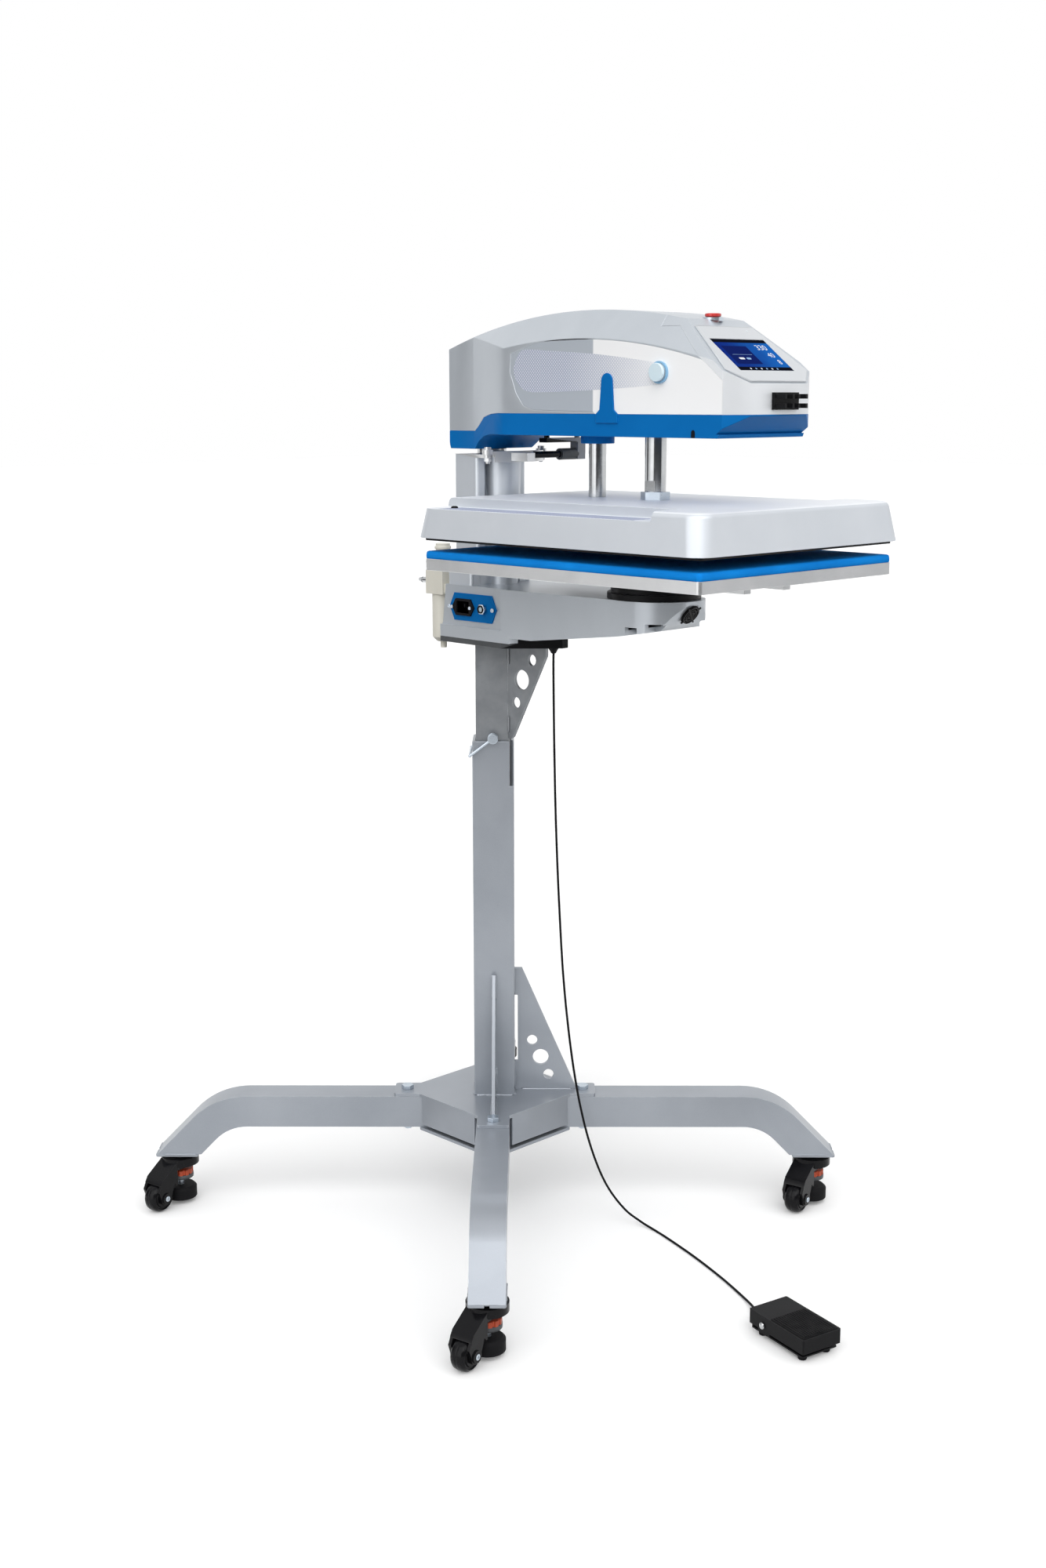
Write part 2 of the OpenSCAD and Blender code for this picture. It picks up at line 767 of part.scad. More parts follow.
// Hollow inside the casting, in (Y, Z)
module casting_hollow() {
    t = casting_wall;
    polygon([
        [post_front_y - 40, plate_top_z + base_flange_h], [plate_chamfer_y - 40, plate_top_z + 6 + t],
        [base_nose_y + 30, plate_top_z + 28 + t], [base_nose_y - 33, plate_top_z + 39 + t],
        [base_nose_y - 38, base_top_z - t], [post_front_y - 40, base_top_z - t]
    ]);
}

module base_casting() {
    color("silver") difference() {
        union() {
            intersection() {
                linear_extrude(far) casting_plan();
                along_x(far) casting_side();
                // Narrower walls above the flange
                union() {
                    translate([0, 0, flange_top_z]) linear_extrude(far)
                        translate([-base_half_w + 4, -far]) square([2 * base_half_w - 8, far + base_back_y]);
                    translate([0, -far / 2 + plate_chamfer_y, 0]) cube([far, far, 2 * far], center = true);
                }
            }
            translate([0, 0, plate_top_z]) linear_extrude(base_flange_h) base_plan(block_y + free_gap);
        }
        intersection() {
            along_x(2 * (base_nose_r - casting_wall)) casting_hollow();
            linear_extrude(far) translate([0, base_nose_y]) {
                circle(base_nose_r - casting_wall);
                translate([casting_wall - base_nose_r, 0]) square([2 * (base_nose_r - casting_wall), far]);
            }
        }
        // Room for the mounting plate's nose block
        translate([-far / 2, block_y + free_gap - far, plate_top_z - over])
            cube([far, far, nose_block_t + free_gap + over]);
        // Belly vents on both sides
        both_sides() for (i = [0, 1])
            translate([base_nose_r - 26, base_nose_y - 10 - i * 33, plate_top_z + 30 + i * 6]) cube([50, 21, 13]);
        // Holes behind the inlet plate
        translate([-base_half_w + 3, inlet_y, inlet_plate_z]) cube([70, inlet_w - 12, inlet_h - 2], center = true);
        translate([-base_half_w, reset_y, inlet_plate_z]) rotate([0, 90, 0]) cylinder(r = reset_r + 3, h = 40, center = true);
    }
}

module post() {
    height = post_top_z - base_top_z;
    color("silver") difference() {
        union() {
            translate([0, 0, base_top_z]) linear_extrude(height) difference() {
                translate([0, (post_back_y + post_front_y) / 2])
                    round_rect(2 * post_half_w, post_back_y - post_front_y, 6);
                translate([0, (post_front_y - over + post_back_y - 12) / 2])
                    square([2 * (post_half_w - post_wall), post_back_y - 12 - post_front_y + 2 * over], center = true);
            }
            // Foot block on the casting
            translate([0, (post_foot_back + post_foot_front) / 2, base_top_z]) linear_extrude(post_foot_h)
                round_rect(2 * post_foot_half, post_foot_back - post_foot_front, 5);
            translate([0, post_cone_y, base_top_z]) cylinder(r1 = post_cone_low_r, r2 = post_cone_top_r, h = height);
            translate([0, 0, base_top_z]) cylinder(r = post_core_r, h = height);
            // Cap plate with the strap's tongues
            translate([0, 0, post_top_z - fine]) linear_extrude(post_cap_t) {
                translate([0, (post_back_y + post_front_y) / 2])
                    round_rect(2 * post_half_w, post_back_y - post_front_y, 6);
                translate([0, post_cone_y]) circle(post_cone_top_r + 1);
                both_sides() polygon([[post_half_w - 14, post_front_y + 4], [post_half_w, post_front_y + 6],
                    [strap_ear[0] + 6, strap_ear[1]], [strap_ear[0] - 6, strap_ear[1]]]);
                both_sides() translate(strap_ear) circle(6);
            }
        }
        translate([0, 0, shaft_seat_z]) cylinder(d = swing_shaft_d + 2 * running_gap, h = far);
        both_sides() translate(strap_ear) cylinder(r = 3 + hole_gap, h = far);
    }
}

strap_ear = [strap_r * sin(strap_angle), strap_y - strap_r * cos(strap_angle)];

module swing_shaft() {
    color("lightgray") translate([0, 0, shaft_seat_z]) {
        cylinder(d = swing_shaft_d, h = shaft_top_z - shaft_seat_z);
        translate([0, 0, post_top_z + post_cap_t - shaft_seat_z])
            cylinder(r = thrust_r, h = tail_bottom_z - 0.3 - post_top_z - post_cap_t);
    }
}

// Front strap that ties the post's cap and carries the swing stop
module stop_strap() {
    seat_z = post_top_z + post_cap_t;
    ear_top_z = strap_z + strap_h + 2;
    color("silver") {
        difference() {
            union() {
                translate([0, strap_y, strap_z]) rotate(270 - strap_angle) rotate_extrude(angle = 2 * strap_angle)
                    translate([strap_r - strap_t / 2, 0]) square([strap_t, strap_h]);
                both_sides() translate(concat(strap_ear, seat_z)) cylinder(r = ear_r, h = ear_top_z - seat_z);
                translate([lug_x, -lug_reach, strap_z + 2]) cube([lug_w, lug_reach - 70 + 2, strap_h - 4]);
            }
            // Room for the cap's tongues
            both_sides() translate(concat(strap_ear, 0)) cylinder(r = ear_r + 3, h = seat_z);
        }
        both_sides() translate(concat(strap_ear, 0)) {
            translate([0, 0, post_top_z - 8]) cylinder(r = 3, h = ear_top_z - post_top_z + 8 + 3);
            translate([0, 0, post_top_z - 5.1]) hex(10, 5);
            translate([0, 0, ear_top_z - fine]) cylinder(r = 5, h = 4);
        }
    }
}

// Electrics and air

wall_x = -base_half_w + 4;

module on_left_wall(y, z) { translate([wall_x, y, z]) rotate([0, -90, 0]) rotate(-90) children(); }

module inlet_plate() {
    cut = 10;
    w = inlet_plate_w / 2;
    h = inlet_plate_h / 2;
    color("royalblue") difference() {
        on_left_wall(inlet_plate_y, inlet_plate_z) linear_extrude(inlet_plate_t) polygon([
            [-w + cut, -h], [w - cut, -h], [w, 0], [w - cut, h], [-w + cut, h], [-w, 0]
        ]);
        on_left_wall(inlet_y, inlet_plate_z) translate([0, 0, -over])
            linear_extrude(inlet_plate_t + 2 * over) square([inlet_w - 13, inlet_h - 3], center = true);
        on_left_wall(reset_y, inlet_plate_z) translate([0, 0, -over]) cylinder(r = reset_r + running_gap, h = 10);
    }
}

module power_inlet() {
    color("black") on_left_wall(inlet_y, inlet_plate_z) {
        difference() {
            union() {
                translate([0, 0, inlet_plate_t]) linear_extrude(3) polygon([
                    [-inlet_w / 2 + 8, -inlet_h / 2], [inlet_w / 2 - 8, -inlet_h / 2], [inlet_w / 2, 0],
                    [inlet_w / 2 - 8, inlet_h / 2], [-inlet_w / 2 + 8, inlet_h / 2], [-inlet_w / 2, 0]
                ]);
                translate([0, 0, inlet_plate_t - 18]) linear_extrude(18 + fine)
                    square([inlet_w - 14, inlet_h - 4], center = true);
            }
            translate([-inlet_socket[0] / 2, -inlet_socket[1] / 2, inlet_plate_t + 3 - inlet_socket[2]])
                cube(inlet_socket + [0, 0, over]);
        }
        for (p = [[-7, -2], [0, 2], [7, -2]]) translate([p[0] - 1, p[1] - 2.5, inlet_plate_t + 3 - inlet_socket[2] - fine])
            cube([2, 5, inlet_socket[2] - 4]);
    }
}

module reset_button() {
    color("white") on_left_wall(reset_y, inlet_plate_z) translate([0, 0, -8]) cylinder(r = reset_r, h = 8 + inlet_plate_t + 7);
}

module air_filter() {
    color("ivory") translate([filter_x, filter_y, 0]) {
        translate([-filter_half, -filter_half, filter_z]) cube([2 * filter_half, 2 * filter_half, filter_h]);
        translate([-filter_half + 4, base_back_y - 6 - filter_y, filter_z + 2])
            cube([2 * filter_half - 8, filter_y - base_back_y + 6 - filter_half + over, 14]);
        translate([0, 0, filter_z - bowl_h]) cylinder(r = bowl_r, h = bowl_h + fine);
        translate([0, 0, filter_z - bowl_h - bowl_tip_h])
            cylinder(r1 = bowl_r - bowl_tip_h, r2 = bowl_r, h = bowl_tip_h + fine);
        translate([0, 0, filter_z - bowl_h - bowl_tip_h - drain_h]) cylinder(r = drain_r, h = drain_h + fine);
        translate([0, 0, filter_z + filter_h - fine]) cylinder(r = stack_r, h = stack_h);
        for (i = [0:4]) translate([0, 0, filter_z + filter_h + rib_h + i * rib_pitch]) cylinder(r = rib_r, h = rib_h);
    }
}

module air_nipple() {
    back = filter_y + filter_half;
    color("lightgray") translate([filter_x, back, nipple_z]) rotate([-90, 0, 0]) {
        hex(16, 9);
        cylinder(r = 6.5, h = nipple_neck);
        cylinder(r = nipple_r, h = nipple_neck + nipple_l);
        translate([0, 0, nipple_neck + nipple_l - fine]) cylinder(r = nipple_r - 1, h = 4);
        translate([0, 0, nipple_neck + nipple_l + 3]) cylinder(r1 = nipple_r - 0.1, r2 = nipple_r - 1.5, h = 7);
    }
}

// Wire guard on the slanted front of the casting
module fan_guard() {
    size = 36;
    wire = 2;
    front = base_nose_y - base_nose_r;
    slope = atan2(base_top_z - 7 - plate_top_z - 50, base_nose_y - 45 - front - 2);
    color("dimgray") translate([0, (front + 2 + base_nose_y - 45) / 2, (base_top_z - 7 + plate_top_z + 50) / 2])
        rotate([180 - slope, 0, 0]) translate([0, 0, 3]) {
            for (r = [5, 9, 13]) difference() {
                translate([0, 0, -wire / 2]) cylinder(r = r + wire / 2, h = wire);
                translate([0, 0, -wire]) cylinder(r = r - wire / 2, h = 2 * wire);
            }
            for (a = [45, 135]) rotate(a) cube([size, wire, wire], center = true);
            for (a = [45:90:315]) rotate(a) translate([size / 2 - 5, 0, fine - 3]) cylinder(r = 2.5, h = 3.5);
        }
}

// Fixed guide under the lower platen, with two grooves for its rails
module platen_receiver() {
    color("black") difference() {
        union() {
            translate([0, platen_y, base_top_z]) cylinder(r = receiver_r, h = receiver_tier_h);
            translate([0, platen_y, base_top_z])
                cylinder(r = receiver_upper_r, h = platen_bottom_z - free_gap - base_top_z);
        }
        for (s = [-1, 1]) translate([s * rail_x, platen_y, platen_bottom_z - rail_h - free_gap])
            translate([-rail_w / 2 - free_gap, -far / 2, 0]) cube([rail_w + 2 * free_gap, far, rail_h + over]);
    }
}

// Platens

module lower_platen() {
    color("lightgray") {
        translate([0, platen_y, platen_bottom_z]) linear_extrude(platen_t) round_rect(platen_w, platen_d, 6);
        for (s = [-1, 1]) translate([s * rail_x - rail_w / 2, platen_y - rail_l / 2, platen_bottom_z - rail_h])
            cube([rail_w, rail_l, rail_h + fine]);
    }
}

module platen_pad() {
    color("dodgerblue") translate([0, platen_y, platen_top_z]) linear_extrude(pad_t) round_rect(platen_w, platen_d, 4);
}

module heat_platen() {
    color([0.1, 0.1, 0.1]) translate([0, platen_y, heat_bottom_z]) linear_extrude(heat_platen_t)
        round_rect(platen_w, platen_d, 6);
}

// One level of the cover's drafted box, drawn in by a given amount
module cover_slice(z, draw_in) {
    lean = draw_in + cover_draft * (z - cover_z) / cover_h;
    translate([0, platen_y, z]) linear_extrude(fine)
        round_rect(cover_w - 2 * lean, cover_d - 2 * lean, cover_corner_r - draw_in, $fn = 32);
}

// Drafted box with rounded upright corners and a rounded top edge
module cover_form() {
    hull() {
        cover_slice(cover_z, 0);
        for (a = [0:22.5:90]) cover_slice(cover_top_z - fine - cover_round * (1 - sin(a)), cover_round * (1 - cos(a)));
    }
}

module platen_cover() {
    heat_top = heat_bottom_z + heat_platen_t;
    roof = 5;
    inner_w = cover_w - 2 * cover_wall - 4;
    inner_d = cover_d - 2 * cover_wall - 4;
    lean = cover_draft * 0.7;
    color("silver") {
        difference() {
            cover_form();
            // Room for the heat platen
            translate([0, platen_y, cover_z - over]) linear_extrude(heat_top - cover_z + over)
                round_rect(inner_w, inner_d, 22);
            // Hollow above it, lower under the side ledges
            translate([0, platen_y, heat_top - over]) linear_extrude(cover_top_z - ledge_drop - roof - heat_top + over)
                round_rect(inner_w - 2 * lean, inner_d - 2 * lean, 12);
            translate([0, platen_y, heat_top]) linear_extrude(cover_top_z - roof - heat_top)
                round_rect(cover_w - 2 * ledge_w - 2 * roof, inner_d - 2 * cover_draft, 12);
            both_sides() translate([cover_w / 2 - ledge_w, ledge_front_y, cover_top_z - ledge_drop]) cube([far, far, far]);
        }
        // Bosses that carry the heat platen
        for (x = [-1, 1], y = [-1, 1]) translate([x * 120, platen_y + y * 170, heat_top])
            cylinder(r = 14, h = cover_top_z - roof - heat_top + fine);
        translate([0, platen_y, heat_top]) cylinder(r = 40, h = cover_top_z - roof - heat_top + fine);
    }
}

module piston_rod() {
    color("lightgray") translate([0, platen_y, 0]) {
        translate([0, 0, cover_top_z]) hex(rod_nut_af, rod_nut_h);
        difference() {
            translate([0, 0, cover_top_z + fine]) cylinder(d = piston_rod_d, h = rod_top_z - cover_top_z);
            for (s = [-1, 1]) translate([s * (piston_rod_d / 2 + 6), 0, cover_top_z + rod_nut_h + 8])
                cube([18, far, 14], center = true);
        }
        translate([0, 0, piston_z]) cylinder(r = piston_r, h = piston_h);
    }
}

module guide_rod() {
    color("lightgray") translate([0, guide_y, cover_top_z]) cylinder(d = guide_rod_d, h = rod_top_z - cover_top_z - 20);
}

// Head

// Plan of the head with its walls moved in
module head_plan(inset) {
    b = head_back_y - inset;
    f = head_front_y + inset;
    t = tail_half_w - inset;
    w = head_half_w - inset;
    n = nose_half_front - inset * 0.6;
    polygon([
        [-t + tail_cut, b], [t - tail_cut, b], [t, b - tail_cut], [t, flare_y[0]], [w - flare_in, flare_y[1]],
        [w, flare_y[2]], [w, nose_back_y + inset * 0.5], [n, f], [-n, f], [-w, nose_back_y + inset * 0.5],
        [-w, flare_y[2]], [-w + flare_in, flare_y[1]], [-t, flare_y[0]], [-t, b - tail_cut]
    ]);
}

// Body under the head's arched crown, sloping shoulders and bezel
module head_body(inset) {
    top_z = head_top_z - head_top_r;
    module shoulder() {
        translate([-head_crown_half_w, head_peak_y, head_top_z])
            rotate([0, 90 - shoulder_angle, 0]) translate([shoulder_r, 0, 0])
                cylinder(r = shoulder_r - inset, h = far, center = true, $fn = smooth);
    }
    intersection() {
        translate([0, 0, tail_bottom_z]) linear_extrude(far) head_plan(inset);
        translate([0, head_peak_y, top_z]) rotate([0, 90, 0])
            cylinder(r = head_top_r - inset, h = far, center = true, $fn = smooth);
        shoulder();
        mirror([1, 0, 0]) shoulder();
        along_x(far) bezel_cut(inset);
    }
}

// Everything behind the sloping bezel plane, in (Y, Z)
module bezel_cut(inset) {
    y0 = head_front_y + inset * sin(bezel_angle);
    z0 = bezel_z - inset * cos(bezel_angle);
    polygon([
        [far, 0], [far, far], [y0 + far / 5 * cos(bezel_angle), far], [y0 + far / 5 * cos(bezel_angle), z0 + far / 5 * sin(bezel_angle)],
        [y0, z0], [head_front_y - over, z0 - (inset == 0 ? 0 : inset)], [head_front_y - over, 0]
    ]);
}

// Everything above the seam, in (Y, Z)
module above_seam() {
    polygon([
        [far, tail_seam_z], [seam_y[0], tail_seam_z], [seam_y[1], tail_seam_z + 7], [seam_y[2], seam_z - 6],
        [seam_y[3], seam_z - 1.5], [seam_y[4], seam_z], [-far, seam_z], [-far, far], [far, far]
    ]);
}

// Everything in front of the joint between cover and control nose, in (Y, Z)
module nose_zone() {
    y0 = head_front_y + nose_t * sin(bezel_angle);
    z0 = bezel_z - nose_t * cos(bezel_angle);
    function line_z(y) = z0 + (y - y0) * tan(bezel_angle);
    polygon([
        [nose_back_y, seam_z - 40], [nose_back_y, line_z(nose_back_y)], [stop_y, line_z(stop_y)],
        [nose_tab_y, line_z(stop_y)], [nose_tab_y, far], [-far, far], [-far, seam_z - 40]
    ]);
}

// Side panel's outline, in (Y, Z)
module panel_outline() {
    intersection() {
        polygon(concat(
            [for (p = panel_back) [p[0], seam_z + p[1]]],
            [[nose_back_y + free_gap, seam_z], [nose_back_y + free_gap, seam_z + panel_front_h]],
            [for (p = panel_top) [p[0], seam_z + p[1]]]
        ));
        translate([head_peak_y, head_top_z - head_top_r]) circle(head_top_r - shoulder_fall - 2, $fn = smooth);
    }
}

module on_bezel() { translate([0, head_front_y, bezel_z]) rotate([bezel_angle, 0, 0]) children(); }

module head_cover() {
    color("silver") difference() {
        intersection() {
            head_body(0);
            along_x(far) above_seam();
        }
        head_body(head_wall);
        along_x(far) nose_zone();
        both_sides() translate([head_half_w - panel_t, 0, 0]) along_x(2 * panel_t) panel_outline();
        // Open edge behind the nose, closed by the side panels
        both_sides() translate([head_half_w - 12, nose_back_y - over, seam_z - over])
            cube([20, 4 + over, panel_front_h + over]);
        both_sides() translate([head_half_w, palm_y, palm_z]) rotate([0, 90, 0])
            cylinder(r = palm_stem_r + running_gap, h = 40, center = true);
    }
}

module side_panels() {
    color("white") difference() {
        both_sides() translate([head_half_w - panel_t / 2, 0, 0]) along_x(panel_t) panel_outline();
        translate([0, free_gap, 0]) along_x(far) nose_zone();
        both_sides() translate([head_half_w, palm_y, palm_z]) rotate([0, 90, 0])
            cylinder(r = palm_stem_r + running_gap, h = 40, center = true);
    }
}

module tray_lower() {
    // Underside of the tray, in (Y, Z)
    polygon([
        [far, tail_seam_z - over], [head_back_y, tail_seam_z - over], [head_back_y - tail_lean, tail_bottom_z],
        [seam_y[0], tail_bottom_z], [seam_y[1], tail_bottom_z + 11], [seam_y[2], tray_bottom_z - 3],
        [seam_y[3], tray_bottom_z], [nose_back_y + 8, tray_bottom_z], [nose_back_y + 6, nose_bottom_z],
        [head_front_y + nose_slant, nose_bottom_z], [head_front_y, seam_z - 2],
        [-far, seam_z - 2], [-far, far], [far, far]
    ]);
}

module head_tray() {
    color("royalblue") difference() {
        union() {
            difference() {
                intersection() {
                    head_body(0);
                    along_x(far) tray_lower();
                }
                along_x(far) above_seam();
                translate([0, 0, tray_bottom_z + tray_floor_t]) linear_extrude(far) intersection() {
                    head_plan(head_wall);
                    translate([-far / 2, head_front_y + nose_slant + head_wall])
                        square([far, seam_y[3] - head_front_y - nose_slant - head_wall]);
                }
            }
            translate([0, 0, tail_bottom_z]) cylinder(r = hub_r, h = shaft_top_z - tail_bottom_z - 20);
            translate([0, guide_y, tray_bottom_z - boss_h]) cylinder(r = boss_r, h = boss_h + tray_floor_t + 40);
            both_sides() translate([head_half_w - 2, 0, 0]) fin();
        }
        cylinder(d = swing_shaft_d + 2 * running_gap, h = far);
        translate([0, guide_y, 0]) cylinder(d = guide_rod_d + 2 * running_gap, h = far);
        translate([0, platen_y, 0]) cylinder(d = piston_rod_d + 2 * free_gap, h = far);
    }
}

// Blue fin that laps over the side panel
module fin() {
    rotate([90, 0, 90]) {
        translate([0, 0, 2]) linear_extrude(fin_t) fin_outline();
        linear_extrude(2 + fin_t) translate([fin_y - fin_half, seam_z - 12]) square([2 * fin_half, 12 - fine]);
    }
}

module fin_outline() {
    polygon([
        [fin_y - fin_half, seam_z - 12], [fin_y + fin_half, seam_z - 12], [fin_y + fin_half, seam_z],
        [fin_y + fin_top_r + 3, seam_z + 6], [fin_y + fin_top_r, seam_z + fin_h - fin_top_r],
        [fin_y - fin_top_r, seam_z + fin_h - fin_top_r], [fin_y - fin_top_r - 3, seam_z + 6], [fin_y - fin_half, seam_z]
    ]);
    translate([fin_y, seam_z + fin_h - fin_top_r]) circle(fin_top_r);
}

module control_nose() {
    color("silver") difference() {
        intersection() {
            head_body(0);
            along_x(far) nose_zone();
            translate([0, 0, seam_z]) linear_extrude(far) square(far * 2, center = true);
        }
        on_bezel() translate([-screen_w / 2, screen_rise, -3]) cube([screen_w, screen_h, 20]);
        translate([0, stop_y, head_top_z - 60]) cylinder(r = 8 + running_gap, h = 100);
        // Level seat that the stop button sinks into
        translate([0, stop_y, stop_z + 3.2]) cylinder(d = stop_button_d + 2 * running_gap, h = 50);
    }
}

module fascia_outline() {
    polygon(concat(
        [for (i = [0:2]) [fascia_half[i], fascia_rise[i]]],
        [for (i = [2:-1:0]) [-fascia_half[i], fascia_rise[i]]]
    ));
}

module control_fascia() {
    color("whitesmoke") on_bezel() difference() {
        linear_extrude(fascia_t) fascia_outline();
        translate([-screen_w / 2, screen_rise, -over]) cube([screen_w, screen_h, 10]);
    }
}

module touch_screen() {
    color("navy") on_bezel() translate([-screen_w / 2 + 0.2, screen_rise + 0.2, -3]) cube([screen_w - 0.4, screen_h - 0.4, 4]);
}

module clip_holder() {
    prong_l = 16;
    color("black") translate([clip_x, head_front_y, clip_z]) {
        translate([-26, -4, -11]) cube([52, 4, 22]);
        for (x = [-24, -8, 4, 20], z = [-9, 3]) translate([x, -4 - prong_l, z]) cube([4, prong_l + fine, 6]);
    }
}

module button_collars() {
    color("skyblue") {
        both_sides() translate([head_half_w, palm_y, palm_z]) rotate([0, 90, 0]) difference() {
            cylinder(d = palm_button_d + 5, h = collar_t);
            translate([0, 0, -over]) cylinder(d = palm_button_d + 2 * running_gap, h = 10);
        }
        translate([0, stop_y, stop_z]) difference() {
            cylinder(d = stop_button_d + 6, h = 5);
            translate([0, 0, -over]) cylinder(d = stop_button_d + 2 * running_gap, h = 10);
            translate([0, head_peak_y - stop_y, head_top_z - head_top_r - stop_z]) rotate([0, 90, 0])
                cylinder(r = head_top_r, h = 100, center = true, $fn = smooth);
        }
    }
}

stop_z = head_top_z - head_top_r + sqrt(pow(head_top_r, 2) - pow(stop_y - head_peak_y, 2)) - 3;

module palm_button() {
    color("lightcyan") translate([head_half_w, palm_y, palm_z]) rotate([0, 90, 0]) {
        translate([0, 0, palm_travel + 0.5]) cylinder(d = palm_button_d, h = 5);
        translate([0, 0, -14]) cylinder(r = palm_stem_r, h = 14 + palm_travel + 1);
    }
}

module palm_button_right() { palm_button(); }

module palm_button_left() { mirror([1, 0, 0]) palm_button(); }

module stop_button() {
    color("red") translate([0, stop_y, stop_z]) {
        translate([0, 0, 3.5 + stop_travel]) cylinder(d = stop_button_d, h = stop_cap_h);
        translate([0, 0, -16]) cylinder(r = 8, h = 20 + stop_travel);
    }
}

module swing_damper() {
    rod_r = 5;
    color("dimgray") {
        translate([damper_tip_x + 4, damper_y, damper_z]) rotate([0, 90, 0]) cylinder(r = rod_r, h = damper_elbow_x - damper_tip_x - 4);
        translate([damper_tip_x, damper_y, damper_z]) rotate([0, 90, 0]) cylinder(r1 = 3, r2 = 4, h = 4 + fine);
        translate([damper_elbow_x - 44, damper_y, damper_z]) rotate([0, 90, 0]) cylinder(r = 8.5, h = 34);
        translate([damper_elbow_x - 12, damper_y - 8, damper_z - 8]) cube([16, 16, 34 - 8]);
        translate([damper_elbow_x - 78, damper_y - 8, damper_z + 17.5]) cube([82, 16, 6.5]);
        translate([damper_elbow_x - 70, damper_y, damper_z + 17.5]) cylinder(r = 4, h = tray_bottom_z - damper_z - 17.5);
        translate([damper_elbow_x - 6, damper_y, damper_z + 17.5]) cylinder(r = 4, h = tray_bottom_z - damper_z - 17.5);
    }
}

module air_cylinder() {
    chamber_top = piston_z + piston_h + 6;
    color("lightgray") translate([0, platen_y, 0]) difference() {
        translate([0, 0, cylinder_z]) cylinder(r = cylinder_r, h = cylinder_h);
        translate([0, 0, piston_z - press_travel - 3]) cylinder(r = piston_r + running_gap, h = chamber_top - piston_z + press_travel + 3);
        cylinder(d = piston_rod_d + 2 * running_gap, h = far);
    }
}

// Foot pedal

module pedal_base() {
    w = pedal_w - 2 * pedal_sheet - 2 * free_gap;
    l = pedal_l - 2 * pedal_sheet - 4;
    color("black") at_pedal() difference() {
        union() {
            translate([0, 0, pedal_foot_h]) linear_extrude(pedal_sheet) round_rect(w, l, 3);
            for (s = [-1, 1]) translate([s * (w / 2 - pedal_sheet / 2), pedal_pivot_y, pedal_foot_h])
                translate([-pedal_sheet / 2, -12, 0]) cube([pedal_sheet, 24, pedal_pivot_z - pedal_foot_h + 6]);
            translate([-w / 2, l / 2 - pedal_sheet, pedal_foot_h]) cube([w, pedal_sheet, 16]);
            translate([-14, -20, pedal_foot_h]) cube([28, 20, 14]);
            translate([0, pedal_pivot_y, pedal_pivot_z]) rotate([0, 90, 0]) cylinder(r = pedal_pin_r, h = pedal_w + 3, center = true);
        }
        translate([cord_entry_x, l / 2, cord_entry_z]) rotate([90, 0, 0]) cylinder(r = cord_r + free_gap, h = 20, center = true);
    }
}

module pedal_feet() {
    color("black") at_pedal() for (x = [-1, 1], y = [-1, 1])
        translate([x * (pedal_w / 2 - 13), y * (pedal_l / 2 - 16), 0]) {
            cylinder(r1 = pedal_foot_r - 1, r2 = pedal_foot_r, h = pedal_foot_h - 2);
            translate([0, 0, pedal_foot_h - 2 - fine]) cylinder(r = pedal_foot_r, h = 2 + fine);
        }
}

module pedal_treadle() {
    color("black") at_pedal() difference() {
        translate([0, 0, pedal_skirt_z]) linear_extrude(pedal_h - 2 - pedal_skirt_z) round_rect(pedal_w, pedal_l, 2);
        translate([0, 0, pedal_skirt_z - over]) linear_extrude(pedal_h - 2 - pedal_skirt_z - pedal_sheet + over)
            round_rect(pedal_w - 2 * pedal_sheet, pedal_l - 2 * pedal_sheet, 1);
        translate([0, pedal_pivot_y, pedal_pivot_z]) rotate([0, 90, 0])
            cylinder(r = pedal_pin_r + running_gap, h = far, center = true);
        translate([cord_entry_x - 4, pedal_l / 2 - 6, pedal_skirt_z - over]) cube([8, 12, 8]);
    }
}

module treadle_pad() {
    y0 = -pedal_l / 2 + 3;
    count = floor((pedal_w - 8) / pedal_rib_pitch);
    color([0.08, 0.08, 0.08]) at_pedal() {
        translate([-pedal_w / 2 + 3, y0, pedal_h - 2]) cube([pedal_w - 6, pedal_pad_l, 1]);
        for (i = [0:count - 1]) translate([(i - (count - 1) / 2) * pedal_rib_pitch - pedal_rib_w / 2, y0 + 2, pedal_h - 1 - fine])
            cube([pedal_rib_w, pedal_pad_l - 4, 1 + fine]);
    }
}

// Cord

function spline(p0, p1, p2, p3, t) = 0.5 * ((2 * p1) + (p2 - p0) * t
    + (2 * p0 - 5 * p1 + 4 * p2 - p3) * t * t + (3 * p1 - p0 - 3 * p2 + p3) * t * t * t);
last = len(CORD) - 1;
cord_path = [
    for (i = [0:last - 1], s = [0:cord_steps - 1])
        spline(CORD[max(i - 1, 0)], CORD[i], CORD[i + 1], CORD[min(i + 2, last)], s / cord_steps),
    CORD[last]
];
function unit(v) = v / norm(v);
function heading(i) = unit(cord_path[min(i + 1, len(cord_path) - 1)] - cord_path[max(i - 1, 0)]);
function across(i) = unit(cross(heading(i), [1, 0.3, 0]));
function ring(i) = [for (k = [0:cord_sides - 1])
    cord_path[i] + cord_r * (cos(360 * k / cord_sides) * across(i)
        + sin(360 * k / cord_sides) * cross(heading(i), across(i)))];

